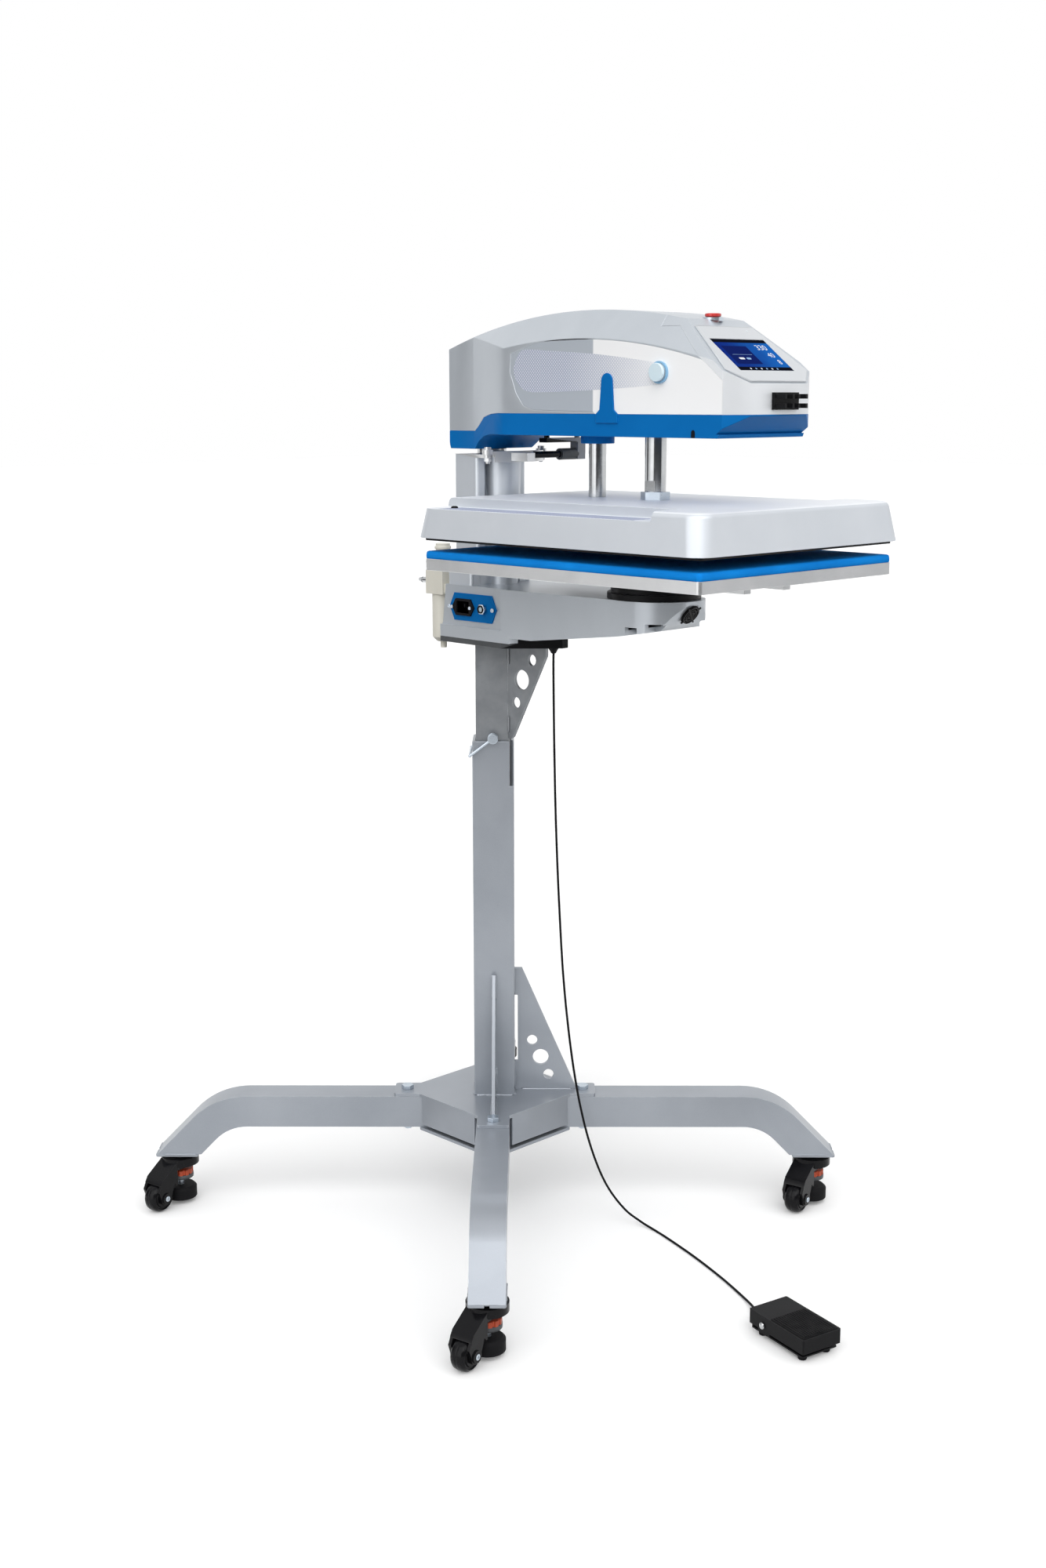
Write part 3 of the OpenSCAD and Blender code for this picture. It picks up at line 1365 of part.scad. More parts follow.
module foot_cord() {
    n = len(cord_path);
    m = cord_sides;
    points = [for (i = [0:n - 1]) each ring(i)];
    sides = [for (i = [0:n - 2], k = [0:m - 1]) each [
        [i * m + k, i * m + (k + 1) % m, (i + 1) * m + (k + 1) % m],
        [i * m + k, (i + 1) * m + (k + 1) % m, (i + 1) * m + k]
    ]];
    caps = [[for (k = [m - 1:-1:0]) k], [for (k = [0:m - 1]) (n - 1) * m + k]];
    color("black") polyhedron(points, concat(sides, caps));
}

module caster_housing_fl() { at_caster(0) caster_housing(); }
module caster_housing_fr() { at_caster(1) caster_housing(); }
module caster_housing_bl() { at_caster(2) caster_housing(); }
module caster_housing_br() { at_caster(3) caster_housing(); }
module caster_wheel_fl() { at_caster(0) caster_wheel(); }
module caster_wheel_fr() { at_caster(1) caster_wheel(); }
module caster_wheel_bl() { at_caster(2) caster_wheel(); }
module caster_wheel_br() { at_caster(3) caster_wheel(); }
module caster_foot_fl() { at_caster(0) caster_foot(); }
module caster_foot_fr() { at_caster(1) caster_foot(); }
module caster_foot_bl() { at_caster(2) caster_foot(); }
module caster_foot_br() { at_caster(3) caster_foot(); }

legs();
leg_bolts();
hub_top_plate();
hub_bottom_plate();
lower_column();
base_gussets();
caster_plates();
caster_housing_fl();
caster_housing_fr();
caster_housing_bl();
caster_housing_br();
caster_wheel_fl();
caster_wheel_fr();
caster_wheel_bl();
caster_wheel_br();
caster_foot_fl();
caster_foot_fr();
caster_foot_bl();
caster_foot_br();
pedal_base();
pedal_feet();
pedal_treadle();
treadle_pad();
foot_cord();
upper_column();
column_gusset();
mounting_plate();
hitch_pin();
hitch_bail();
base_casting();
post();
swing_shaft();
stop_strap();
inlet_plate();
power_inlet();
reset_button();
air_filter();
air_nipple();
fan_guard();
platen_receiver();
cord_gland();
lower_platen();
platen_pad();
head_cover();
head_tray();
side_panels();
control_nose();
control_fascia();
touch_screen();
clip_holder();
button_collars();
swing_damper();
air_cylinder();
stop_button();
palm_button_left();
palm_button_right();
piston_rod();
guide_rod();
platen_cover();
heat_platen();
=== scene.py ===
import math
import random

import bmesh
import bpy
from mathutils import Matrix, Vector


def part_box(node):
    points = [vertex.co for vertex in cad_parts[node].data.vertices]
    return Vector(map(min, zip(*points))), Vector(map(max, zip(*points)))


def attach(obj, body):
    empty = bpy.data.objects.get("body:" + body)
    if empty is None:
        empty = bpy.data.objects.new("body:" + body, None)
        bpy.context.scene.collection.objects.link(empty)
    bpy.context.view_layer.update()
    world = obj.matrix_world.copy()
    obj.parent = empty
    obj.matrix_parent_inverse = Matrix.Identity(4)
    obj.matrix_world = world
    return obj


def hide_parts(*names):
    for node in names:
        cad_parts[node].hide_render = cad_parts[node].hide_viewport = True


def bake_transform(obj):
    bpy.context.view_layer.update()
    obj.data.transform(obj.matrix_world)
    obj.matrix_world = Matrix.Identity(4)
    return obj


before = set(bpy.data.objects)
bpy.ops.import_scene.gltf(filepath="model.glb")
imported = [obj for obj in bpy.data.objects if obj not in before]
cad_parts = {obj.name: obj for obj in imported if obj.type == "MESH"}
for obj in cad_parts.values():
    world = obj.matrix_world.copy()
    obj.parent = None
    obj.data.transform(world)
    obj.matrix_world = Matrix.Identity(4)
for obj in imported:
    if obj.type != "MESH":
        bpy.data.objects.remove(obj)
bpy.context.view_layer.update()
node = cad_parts
scene = bpy.context.scene
MM = 0.001
CORNERS = ("fl", "fr", "bl", "br")
SIDES = ((-1, "left"), (1, "right"))

# Camera, solved from the photograph

LENS_PX = 2433.2
PHOTO_H = 2000.0
SENSOR_MM = 24.0
CAMERA_AT = (-2.0052, -2.0985, 1.2785)
CAMERA_TURN = math.radians(-44.60)
CAMERA_TILT = math.radians(11.486)
CAMERA_ROLL = math.radians(-0.094)
CLIP_END = 60


def make_camera():
    """The photograph's camera: from the front left, a little above the platens."""
    data = bpy.data.cameras.new("camera")
    data.sensor_fit = "VERTICAL"
    data.sensor_width = SENSOR_MM
    data.sensor_height = SENSOR_MM
    data.lens = LENS_PX / PHOTO_H * SENSOR_MM
    data.clip_end = CLIP_END
    right = Vector((math.cos(CAMERA_TURN), math.sin(CAMERA_TURN), 0))
    back = Vector((math.sin(CAMERA_TURN), -math.cos(CAMERA_TURN), 0))
    ahead = -back * math.cos(CAMERA_TILT) - Vector((0, 0, 1)) * math.sin(CAMERA_TILT)
    over = right.cross(ahead)
    x = right * math.cos(CAMERA_ROLL) + over * math.sin(CAMERA_ROLL)
    y = over * math.cos(CAMERA_ROLL) - right * math.sin(CAMERA_ROLL)
    turn = Matrix((x, y, -ahead)).transposed().to_4x4()
    camera = bpy.data.objects.new("camera", data)
    camera.matrix_world = Matrix.Translation(CAMERA_AT) @ turn
    scene.collection.objects.link(camera)
    scene.camera = camera


make_camera()

# Mesh makers, all in millimetres of the frame

WELD_GAP = 0.00003
FLAT_ANGLE = 0.5


def piece(name, mesh, body, material, smooth=True):
    obj = bpy.data.objects.new(name, mesh)
    scene.collection.objects.link(obj)
    mesh.materials.append(material)
    for p in mesh.polygons:
        p.use_smooth = smooth
    if body:
        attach(obj, body)
    return obj


def from_bmesh(name, bm, body, material, smooth=True):
    bmesh.ops.recalc_face_normals(bm, faces=bm.faces)
    bmesh.ops.scale(bm, vec=(MM, MM, MM), verts=bm.verts)
    mesh = bpy.data.meshes.new(name)
    bm.to_mesh(mesh)
    bm.free()
    return piece(name, mesh, body, material, smooth)


def soften(obj, width, segments=2, angle=35):
    """Rounds a piece's sharp edges and keeps its flats flat."""
    weld = obj.modifiers.new("weld", "WELD")
    weld.merge_threshold = WELD_GAP
    flat = obj.modifiers.new("flat", "DECIMATE")
    flat.decimate_type = "DISSOLVE"
    flat.angle_limit = math.radians(FLAT_ANGLE)
    flat.delimit = {"MATERIAL"}
    bevel = obj.modifiers.new("bevel", "BEVEL")
    bevel.width = width * MM
    bevel.segments = segments
    bevel.limit_method = "ANGLE"
    bevel.angle_limit = math.radians(angle)
    bevel.harden_normals = True
    bevel.use_clamp_overlap = True
    bevel.face_strength_mode = "FSTR_ALL"
    even = obj.modifiers.new("even", "WEIGHTED_NORMAL")
    even.use_face_influence = True
    even.weight = 60


def bridge(bm, a, b):
    """Faces between two rings of as many points, or between a ring and a single point."""
    n = max(len(a), len(b))
    for k in range(n):
        j = (k + 1) % n
        if len(a) == 1:
            bm.faces.new((a[0], b[k], b[j]))
        elif len(b) == 1:
            bm.faces.new((a[k], a[j], b[0]))
        else:
            bm.faces.new((a[k], a[j], b[j], b[k]))


def circle(n):
    """Cosine and sine at n even steps round a circle."""
    turns = [2 * math.pi * k / n for k in range(n)]
    return [(math.cos(a), math.sin(a)) for a in turns]


def add_plate(bm, outline, thickness, place):
    """A closed outline in a place's own XY, thickened along its Z."""
    low = [bm.verts.new(place @ Vector((x, y, 0))) for x, y in outline]
    high = [bm.verts.new(place @ Vector((x, y, thickness))) for x, y in outline]
    bm.faces.new(low)
    bm.faces.new(high)
    bridge(bm, low, high)


def add_turned(bm, profile, place, segments=32):
    """A profile of (radius, height) turned round a place's Z, closed where the radius is 0."""
    rings = []
    for r, h in profile:
        steps = circle(segments) if r > 1e-6 else [(0, 0)]
        rings.append([bm.verts.new(place @ Vector((r * c, r * s, h))) for c, s in steps])
    for a, b in zip(rings, rings[1:]):
        bridge(bm, a, b)
    for ring in (rings[0], rings[-1]):
        if len(ring) > 1:
            bm.faces.new(ring)


def add_tube(bm, path, radius, sides=12, closed=False):
    """A round tube along a path of points; radius is a number or a function of the point's number."""
    points = [Vector(p) for p in path]
    n = len(points)
    last = None
    rings = []
    for i, p in enumerate(points):
        before = points[i - 1] if i or closed else p
        after = points[(i + 1) % n] if i < n - 1 or closed else p
        ahead = (after - before).normalized()
        if last is None:
            aside = Vector((0.3, 0.2, 1)) if abs(ahead.z) < 0.9 else Vector((1, 0.3, 0))
            last = ahead.cross(aside).normalized()
        across = (last - ahead * last.dot(ahead)).normalized()
        last = across
        up = ahead.cross(across)
        r = radius(i) if callable(radius) else radius
        rings.append([bm.verts.new(p + across * (r * c) + up * (r * s)) for c, s in circle(sides)])
    spans = list(zip(rings, rings[1:]))
    if closed:
        spans.append((rings[-1], rings[0]))
    for a, b in spans:
        bridge(bm, a, b)
    if not closed:
        bm.faces.new(rings[0])
        bm.faces.new(rings[-1])


def place_at(origin, x_axis=(1, 0, 0), y_axis=(0, 1, 0)):
    x = Vector(x_axis).normalized()
    y = Vector(y_axis).normalized()
    z = x.cross(y)
    return Matrix.Translation(origin) @ Matrix((x, y, z)).transposed().to_4x4()


def facing(origin, direction):
    """A place whose Z points along direction."""
    z = Vector(direction).normalized()
    return Matrix.Translation(origin) @ z.to_track_quat("Z", "Y").to_matrix().to_4x4()


def rounded(w, h, r, steps):
    """Outline of a rounded rectangle, centred."""
    out = []
    for cx, cy, a0 in ((1, 1, 0), (-1, 1, 90), (-1, -1, 180), (1, -1, 270)):
        for k in range(steps + 1):
            a = math.radians(a0 + 90 * k / steps)
            out.append((cx * (w / 2 - r) + r * math.cos(a), cy * (h / 2 - r) + r * math.sin(a)))
    return out


def spline(points, steps):
    """A smooth line through all the points."""
    out = []
    last = len(points) - 1
    for i in range(last):
        p0, p1 = points[max(i - 1, 0)], points[i]
        p2, p3 = points[i + 1], points[min(i + 2, last)]
        for s in range(steps):
            t = s / steps
            out.append(tuple(
                0.5 * (2 * b + (c - a) * t + (2 * a - 5 * b + 4 * c - d) * t * t
                       + (3 * b - a - 3 * c + d) * t ** 3)
                for a, b, c, d in zip(p0, p1, p2, p3)
            ))
    out.append(tuple(points[-1]))
    return out


# Shader nodes

MATH = "ShaderNodeMath"
VECTOR_MATH = "ShaderNodeVectorMath"


def add_node(tree, kind, links=None, **values):
    """A node with its properties and input values set, and inputs linked from other sockets."""
    made = tree.nodes.new(kind)
    for key, value in values.items():
        if hasattr(made, key) and key not in made.inputs:
            setattr(made, key, value)
        else:
            made.inputs[key].default_value = value
    for key, source in (links or {}).items():
        tree.links.new(source, made.inputs[key])
    return made


def combine(tree, kind, operation, *values, **settings):
    """A math node over sockets and fixed values, in the order of its inputs."""
    made = add_node(tree, kind, operation=operation, **settings)
    for socket, value in zip(made.inputs, values):
        if isinstance(value, bpy.types.NodeSocket):
            tree.links.new(value, socket)
        else:
            socket.default_value = value
    return made


def ranged(tree, value, low=0.0, high=1.0, start=0.0, end=1.0):
    """A value that runs from start to end, brought to run from low to high."""
    limits = {"To Min": low, "To Max": high, "From Min": start, "From Max": end}
    return add_node(tree, "ShaderNodeMapRange", {"Value": value}, **limits).outputs["Result"]


def mix_colour(tree, factor, a, b):
    """Colour a where factor is 0 and b where it is 1; each may be a colour or a socket."""
    mix = tree.nodes.new("ShaderNodeMix")
    mix.data_type = "RGBA"
    tree.links.new(factor, mix.inputs[0])
    for value, socket in ((a, mix.inputs[6]), (b, mix.inputs[7])):
        if isinstance(value, tuple):
            socket.default_value = (*value, 1)
        else:
            tree.links.new(value, socket)
    return mix.outputs[2]


def own_place(tree):
    """Where a point lies in its object's own frame."""
    return add_node(tree, "ShaderNodeTexCoord").outputs["Object"]


def noise(tree, place, scale, **values):
    links = {"Vector": place, "Scale": scale}
    return add_node(tree, "ShaderNodeTexNoise", links, **values).outputs["Fac"]


# Shader groups, each with one output


def new_group(name, output, **inputs):
    """An empty group; its inputs are numbers or vectors, as their first values are."""
    group = bpy.data.node_groups.new(name, "ShaderNodeTree")
    for label, value in inputs.items():
        kind = "NodeSocketVector" if isinstance(value, tuple) else "NodeSocketFloat"
        socket = group.interface.new_socket(label, in_out="INPUT", socket_type=kind)
        socket.default_value = value
    group.interface.new_socket(output, in_out="OUTPUT", socket_type="NodeSocketFloat")
    return group, group.nodes.new("NodeGroupInput"), group.nodes.new("NodeGroupOutput")


def grain_group():
    """Fine even noise over the surface."""
    g, inp, out = new_group("fine_grain", "Value", Scale=900.0)
    fine = noise(g, own_place(g), inp.outputs["Scale"], Detail=3.0, Roughness=0.6)
    g.links.new(fine, out.inputs["Value"])
    return g


def patches_group():
    """Large soft patches, as of handling and uneven paint."""
    g, inp, out = new_group("soft_patches", "Value", Scale=9.0)
    soft = noise(g, own_place(g), inp.outputs["Scale"], Detail=4.0, Roughness=0.55, Distortion=0.4)
    g.links.new(ranged(g, soft, start=0.3, end=0.7), out.inputs["Value"])
    return g


def streaks_group():
    """Fine lines along one axis, as of brushing or drawing."""
    g, inp, out = new_group("drawn_streaks", "Value", Stretch=(1.0, 1.0, 1.0))
    scaled = combine(g, VECTOR_MATH, "MULTIPLY", own_place(g), inp.outputs["Stretch"])
    lines = add_node(g, "ShaderNodeTexNoise", {"Vector": scaled.outputs["Vector"]},
                     Scale=1.0, Detail=5.0, Roughness=0.65)
    g.links.new(lines.outputs["Fac"], out.inputs["Value"])
    return g


def edge_group():
    """Mask of outer edges, broken up by noise: partly paint wear, partly a painted highlight where the
    edges catch light.
    """
    g, inp, out = new_group("worn_and_highlit_edges", "Mask", Radius=0.0015, Breakup=60.0)
    flat = add_node(g, "ShaderNodeNewGeometry")
    bent = add_node(g, "ShaderNodeBevel", {"Radius": inp.outputs["Radius"]}, samples=4)
    same = combine(g, VECTOR_MATH, "DOT_PRODUCT", flat.outputs["Normal"], bent.outputs["Normal"])
    edge = ranged(g, same.outputs["Value"], start=0.97, end=0.80)
    breaks = noise(g, own_place(g), inp.outputs["Breakup"], Detail=4.0)
    both = combine(g, MATH, "MULTIPLY", edge, ranged(g, breaks, start=0.4, end=0.62))
    g.links.new(both.outputs["Value"], out.inputs["Mask"])
    return g


def mesh_print_group():
    """Mask of a fine printed diamond mesh in the side panel's plane."""
    g, inp, out = new_group("mesh_print", "Mask", Pitch=330.0)
    turn = (math.radians(45), 0, 0)
    turned = add_node(g, "ShaderNodeMapping", {"Vector": own_place(g)}, Rotation=turn)
    flat = combine(g, VECTOR_MATH, "MULTIPLY", turned.outputs["Vector"], (0, 1, 1))
    links = {"Vector": flat.outputs["Vector"], "Scale": inp.outputs["Pitch"]}
    cells = add_node(g, "ShaderNodeTexVoronoi", links, feature="DISTANCE_TO_EDGE", Randomness=0.0)
    g.links.new(ranged(g, cells.outputs["Distance"], 1.0, 0.0, 0.10, 0.22), out.inputs["Mask"])
    return g


def hatch_print_group():
    """Mask of slanted printed stripes in plan."""
    g, inp, out = new_group("hatch_print", "Mask", Pitch=0.0052)
    along = combine(g, VECTOR_MATH, "DOT_PRODUCT", own_place(g), (0.55, 0.83, 0))
    steps = combine(g, MATH, "DIVIDE", along.outputs["Value"], inp.outputs["Pitch"])
    saw = combine(g, MATH, "PINGPONG", steps.outputs["Value"], 0.5)
    g.links.new(ranged(g, saw.outputs["Value"], start=0.2, end=0.3), out.inputs["Mask"])
    return g


GRAIN = grain_group()
PATCHES = patches_group()
STREAKS = streaks_group()
EDGES = edge_group()
MESH_PRINT = mesh_print_group()
HATCH_PRINT = hatch_print_group()

# Finishes

EDGE_WEAR_AND_SHEEN_RADIUS = 0.0012
COAT_ROUGHNESS = 0.12


def use_group(tree, group, **values):
    """A group's output, with its inputs set."""
    made = tree.nodes.new("ShaderNodeGroup")
    made.node_tree = group
    for key, value in values.items():
        made.inputs[key].default_value = value
    return made.outputs[0]


def new_material(name):
    material = bpy.data.materials.new(name)
    material.use_nodes = True
    tree = material.node_tree
    return material, tree, tree.nodes["Principled BSDF"]


def finish(name, light, dark, metallic, rough, grain=900.0, bump=0.05, bump_depth=0.0002,
           patch=9.0, edge_wear_and_sheen=None, streak=None, coat=0.0, specular=0.5):
    """Two close colours in patches, with grain in the roughness and relief, and lighter edges that are
    partly wear and partly painted highlight.
    """
    material, tree, bsdf = new_material(name)
    patches = use_group(tree, PATCHES, Scale=patch)
    if streak:
        fine = use_group(tree, STREAKS, Stretch=streak)
    else:
        fine = use_group(tree, GRAIN, Scale=grain)
    blend = combine(tree, MATH, "MULTIPLY_ADD", fine, 0.5, ranged(tree, patches, 0.0, 0.5))
    colour = mix_colour(tree, blend.outputs["Value"], dark, light)
    # lighter edge colour: partly real wear, partly a painted highlight along the edges
    if edge_wear_and_sheen:
        colour = mix_colour(tree, use_group(tree, EDGES, Radius=EDGE_WEAR_AND_SHEEN_RADIUS), colour, edge_wear_and_sheen)
    tree.links.new(colour, bsdf.inputs["Base Color"])
    tree.links.new(ranged(tree, fine, *rough), bsdf.inputs["Roughness"])
    relief = add_node(tree, "ShaderNodeBump", {"Height": fine}, Strength=bump, Distance=bump_depth)
    tree.links.new(relief.outputs["Normal"], bsdf.inputs["Normal"])
    bsdf.inputs["Metallic"].default_value = metallic
    bsdf.inputs["Coat Weight"].default_value = coat
    bsdf.inputs["Coat Roughness"].default_value = COAT_ROUGHNESS
    bsdf.inputs["Specular IOR Level"].default_value = specular
    return material


def paint(name, light, dark, metallic, rough, edge_wear_and_sheen):
    """Sprayed metallic paint."""
    return finish(name, light, dark, metallic, rough, grain=1400, bump=0.10, bump_depth=0.0003,
                  patch=6, edge_wear_and_sheen=edge_wear_and_sheen, specular=0.35)


def aluminium(name, light, dark, rough, edge_wear_and_sheen):
    """Aluminium with the fine lines of milling."""
    return finish(name, light, dark, 0.85, rough, streak=(60, 60, 2200), bump=0.08,
                  bump_depth=0.0001, patch=14, edge_wear_and_sheen=edge_wear_and_sheen)


SILVER = paint("silver_paint", (0.66, 0.695, 0.74), (0.57, 0.605, 0.65), 0.5, (0.30, 0.44),
               (0.72, 0.74, 0.77))
HEAD_PAINT = paint("head_paint", (0.58, 0.615, 0.655), (0.45, 0.485, 0.525), 0.5, (0.28, 0.42),
                   (0.68, 0.70, 0.73))
NOSE_PAINT = paint("nose_paint", (0.86, 0.88, 0.905), (0.75, 0.775, 0.805), 0.35, (0.34, 0.48),
                   (0.86, 0.87, 0.89))
COVER_PAINT = paint("cover_paint", (0.68, 0.71, 0.75), (0.56, 0.595, 0.64), 0.5, (0.36, 0.50),
                    (0.80, 0.82, 0.85))
# Painted light: a lighter copy of the cover paint, given to the cover's upward faces to stand in for the
# light falling on its top
COVER_TOP_LIT = paint("cover_top_painted_light", (0.88, 0.90, 0.925), (0.76, 0.785, 0.82), 0.4, (0.40, 0.54),
                  (0.88, 0.90, 0.92))
# Stand and galvanised column: their own darker tones, darkened further as painted shade for the lower
# parts that sit in the shade of the platens
STAND = finish("stand_paint", (0.40, 0.425, 0.465), (0.27, 0.295, 0.33), 0.5, (0.24, 0.38), grain=1100,
               bump=0.08, patch=5, edge_wear_and_sheen=(0.60, 0.63, 0.66), specular=0.35)
GALVANISED = finish("galvanised", (0.32, 0.335, 0.35), (0.18, 0.19, 0.205), 0.6, (0.36, 0.55), grain=60,
                    patch=26, edge_wear_and_sheen=(0.52, 0.53, 0.545), specular=0.4)
ZINC = finish("zinc_plate", (0.62, 0.68, 0.74), (0.45, 0.51, 0.58), 1.0, (0.22, 0.38), grain=500,
              bump_depth=0.0001, patch=60)
BLUE = finish("blue_paint", (0.002, 0.165, 0.50), (0.001, 0.13, 0.41), 0.05, (0.36, 0.48), grain=1200,
              bump=0.10, patch=8, edge_wear_and_sheen=(0.02, 0.21, 0.54), specular=0.08)
DARK = finish("dark_steel", (0.11, 0.115, 0.12), (0.06, 0.065, 0.07), 0.4, (0.38, 0.56), grain=500,
              bump=0.08, patch=20, edge_wear_and_sheen=(0.30, 0.30, 0.31), specular=0.3)
GREY_CAST = finish("grey_casting", (0.30, 0.31, 0.33), (0.22, 0.23, 0.25), 0.4, (0.45, 0.62), grain=500,
                   bump=0.25, bump_depth=0.0003, patch=20, edge_wear_and_sheen=(0.42, 0.43, 0.45), specular=0.3)
MACHINED = aluminium("machined_aluminium", (0.78, 0.785, 0.79), (0.60, 0.61, 0.62), (0.28, 0.44),
                     (0.85, 0.85, 0.86))
PLATEN_EDGE = aluminium("platen_aluminium", (0.50, 0.505, 0.515), (0.36, 0.37, 0.38), (0.30, 0.46),
                        (0.60, 0.60, 0.61))
STEEL = finish("ground_steel", (0.60, 0.61, 0.62), (0.40, 0.41, 0.42), 1.0, (0.12, 0.26),
               streak=(90, 90, 1400), bump=0.04, bump_depth=0.0001, patch=30)
COATED = finish("black_coating", (0.012, 0.012, 0.013), (0.006, 0.006, 0.007), 0.0, (0.42, 0.6),
                grain=1600, bump=0.1, patch=12, specular=0.15)
FOAM = finish("blue_foam", (0.008, 0.33, 0.95), (0.003, 0.20, 0.68), 0.0, (0.72, 0.92), grain=1500,
              bump=0.9, bump_depth=0.0006, patch=10, specular=0.1)
BLACK = finish("black_plastic", (0.010, 0.010, 0.011), (0.005, 0.005, 0.006), 0.0, (0.30, 0.46),
               bump=0.10, patch=18, edge_wear_and_sheen=(0.03, 0.03, 0.032), specular=0.1)
GLOSS_BLACK = finish("gloss_black", (0.007, 0.007, 0.008), (0.004, 0.004, 0.005), 0.0, (0.14, 0.26),
                     grain=400, bump=0.03, bump_depth=0.0001, patch=20, edge_wear_and_sheen=(0.03, 0.03, 0.03),
                     specular=0.14)
RUBBER = finish("black_rubber", (0.012, 0.012, 0.013), (0.006, 0.006, 0.007), 0.0, (0.55, 0.75),
                grain=700, bump=0.2, patch=16, edge_wear_and_sheen=(0.03, 0.03, 0.03), specular=0.1)
ORANGE = finish("orange_plastic", (0.50, 0.072, 0.022), (0.38, 0.05, 0.015), 0.0, (0.34, 0.46),
                grain=600, bump=0.06, patch=30)
CREAM = finish("cream_plastic", (0.80, 0.78, 0.70), (0.70, 0.675, 0.59), 0.0, (0.34, 0.46), grain=500,
               patch=14)
MEMBRANE = finish("bezel_membrane", (0.60, 0.62, 0.645), (0.53, 0.55, 0.575), 0.1, (0.30, 0.40),
                  grain=1600, bump_depth=0.0001, patch=8)
GLASS = finish("screen_glass", (0.006, 0.008, 0.012), (0.004, 0.005, 0.008), 0.0, (0.04, 0.09),
               grain=200, bump=0.0, bump_depth=0.0001, patch=5)
RED = finish("red_cap", (0.62, 0.022, 0.018), (0.48, 0.014, 0.012), 0.0, (0.18, 0.28), grain=500,
             bump=0.03, bump_depth=0.0001, patch=40, coat=0.4)
RING = finish("button_ring", (0.30, 0.55, 0.78), (0.22, 0.46, 0.70), 0.2, (0.18, 0.3), grain=400,
              bump=0.02, bump_depth=0.0001, patch=40, coat=0.3)
PALE = finish("pale_cap", (0.72, 0.86, 0.92), (0.62, 0.78, 0.87), 0.0, (0.16, 0.26), grain=300,
              bump=0.02, bump_depth=0.0001, patch=40, coat=0.4)
JACKET = finish("cord_jacket", (0.010, 0.010, 0.011), (0.006, 0.006, 0.007), 0.0, (0.42, 0.58),
                bump=0.1, bump_depth=0.0001, patch=30, specular=0.06)
# Near-black painted shade, laid on the tray's edge as flat plates where its screw notches fall into shade
SHADOW = finish("notch_painted_shade", (0.012, 0.014, 0.02), (0.006, 0.007, 0.01), 0.0, (0.7, 0.9), grain=300,
                bump=0.0, bump_depth=0.0001, patch=30, specular=0.05)
WALL = finish("dark_backdrop", (0.10, 0.10, 0.105), (0.07, 0.07, 0.075), 0.0, (0.8, 0.9), grain=30,
              bump=0.0, bump_depth=0.0001, patch=2)
PRINT_GROUND = (0.70, 0.725, 0.79)
PRINT_LINES = (0.36, 0.40, 0.53)
STRIPES = (0.28, 0.31, 0.44)
PANEL_SILVER = ((0.41, 0.45, 0.50), (0.49, 0.53, 0.58))


def panel_finish(name, printed):
    """The white side panel: silver at the back when bare, or with the mesh print fading forwards."""
    material = finish(name, (0.985, 0.987, 0.99), (0.965, 0.967, 0.97), 0.0, (0.18, 0.28), grain=300,
                      bump=0.01, bump_depth=0.0001, patch=4, coat=0.5)
    tree = material.node_tree
    bsdf = tree.nodes["Principled BSDF"]
    white = bsdf.inputs["Base Color"].links[0].from_socket
    along = add_node(tree, "ShaderNodeSeparateXYZ", {"Vector": own_place(tree)}).outputs["Y"]
    if printed:
        fade = ranged(tree, along, 0.10, 1.0, -0.42, -0.24)
        ground = mix_colour(tree, fade, white, PRINT_GROUND)
        mask = combine(tree, MATH, "MULTIPLY", use_group(tree, MESH_PRINT, Pitch=300.0), fade)
        colour = mix_colour(tree, mask.outputs["Value"], ground, PRINT_LINES)
    else:
        back = ranged(tree, along, start=-0.293, end=-0.291)
        silver = mix_colour(tree, use_group(tree, GRAIN, Scale=1400.0), *PANEL_SILVER)
        colour = mix_colour(tree, back, white, silver)
    tree.links.new(colour, bsdf.inputs["Base Color"])
    return material


def hatched_finish():
    """Slanted lilac stripes printed on the platen cover's ledges."""
    material = finish("ledge_print", (0.52, 0.55, 0.64), (0.46, 0.49, 0.58), 0.0, (0.70, 0.80),
                      grain=1400, patch=6, specular=0.08)
    tree = material.node_tree
    base = tree.nodes["Principled BSDF"].inputs["Base Color"]
    ground = base.links[0].from_socket
    lines = use_group(tree, HATCH_PRINT, Pitch=0.0052)
    tree.links.new(mix_colour(tree, lines, ground, STRIPES), base)
    return material


PANEL = panel_finish("white_panel", False)
PRINT = panel_finish("panel_print", True)
HATCHED = hatched_finish()

# Pedal cord, along the same route as its solid

CORD_R = 1.75
CORD = [
    (0, -130, 905), (0, -130, 870), (1, -131, 760), (3, -133, 640), (7, -136, 520),
    (13, -140, 400), (22, -147, 290), (33, -156, 200), (47, -168, 125), (64, -184, 65),
    (82, -206, 25), (92, -232, 8), (93, -262, 2), (84, -300, 2), (64, -370, 2),
    (38, -445, 2), (10, -510, 3), (-12, -545, 8), (-25, -563, 13), (-30, -572, 14),
]


def make_cord():
    route = spline(CORD, 10)
    bm = bmesh.new()
    add_tube(bm, route, CORD_R, 14)
    cord = from_bmesh("pedal_cord", bm, None, JACKET)
    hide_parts("foot_cord")
    path = [tuple(c * MM for c in p) for p in route]
    length = sum((Vector(a) - Vector(b)).length for a, b in zip(path, path[1:]))
    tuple(path[0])
    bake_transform(cord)


make_cord()

# CAD pieces with their finishes and the widths of their softened edges

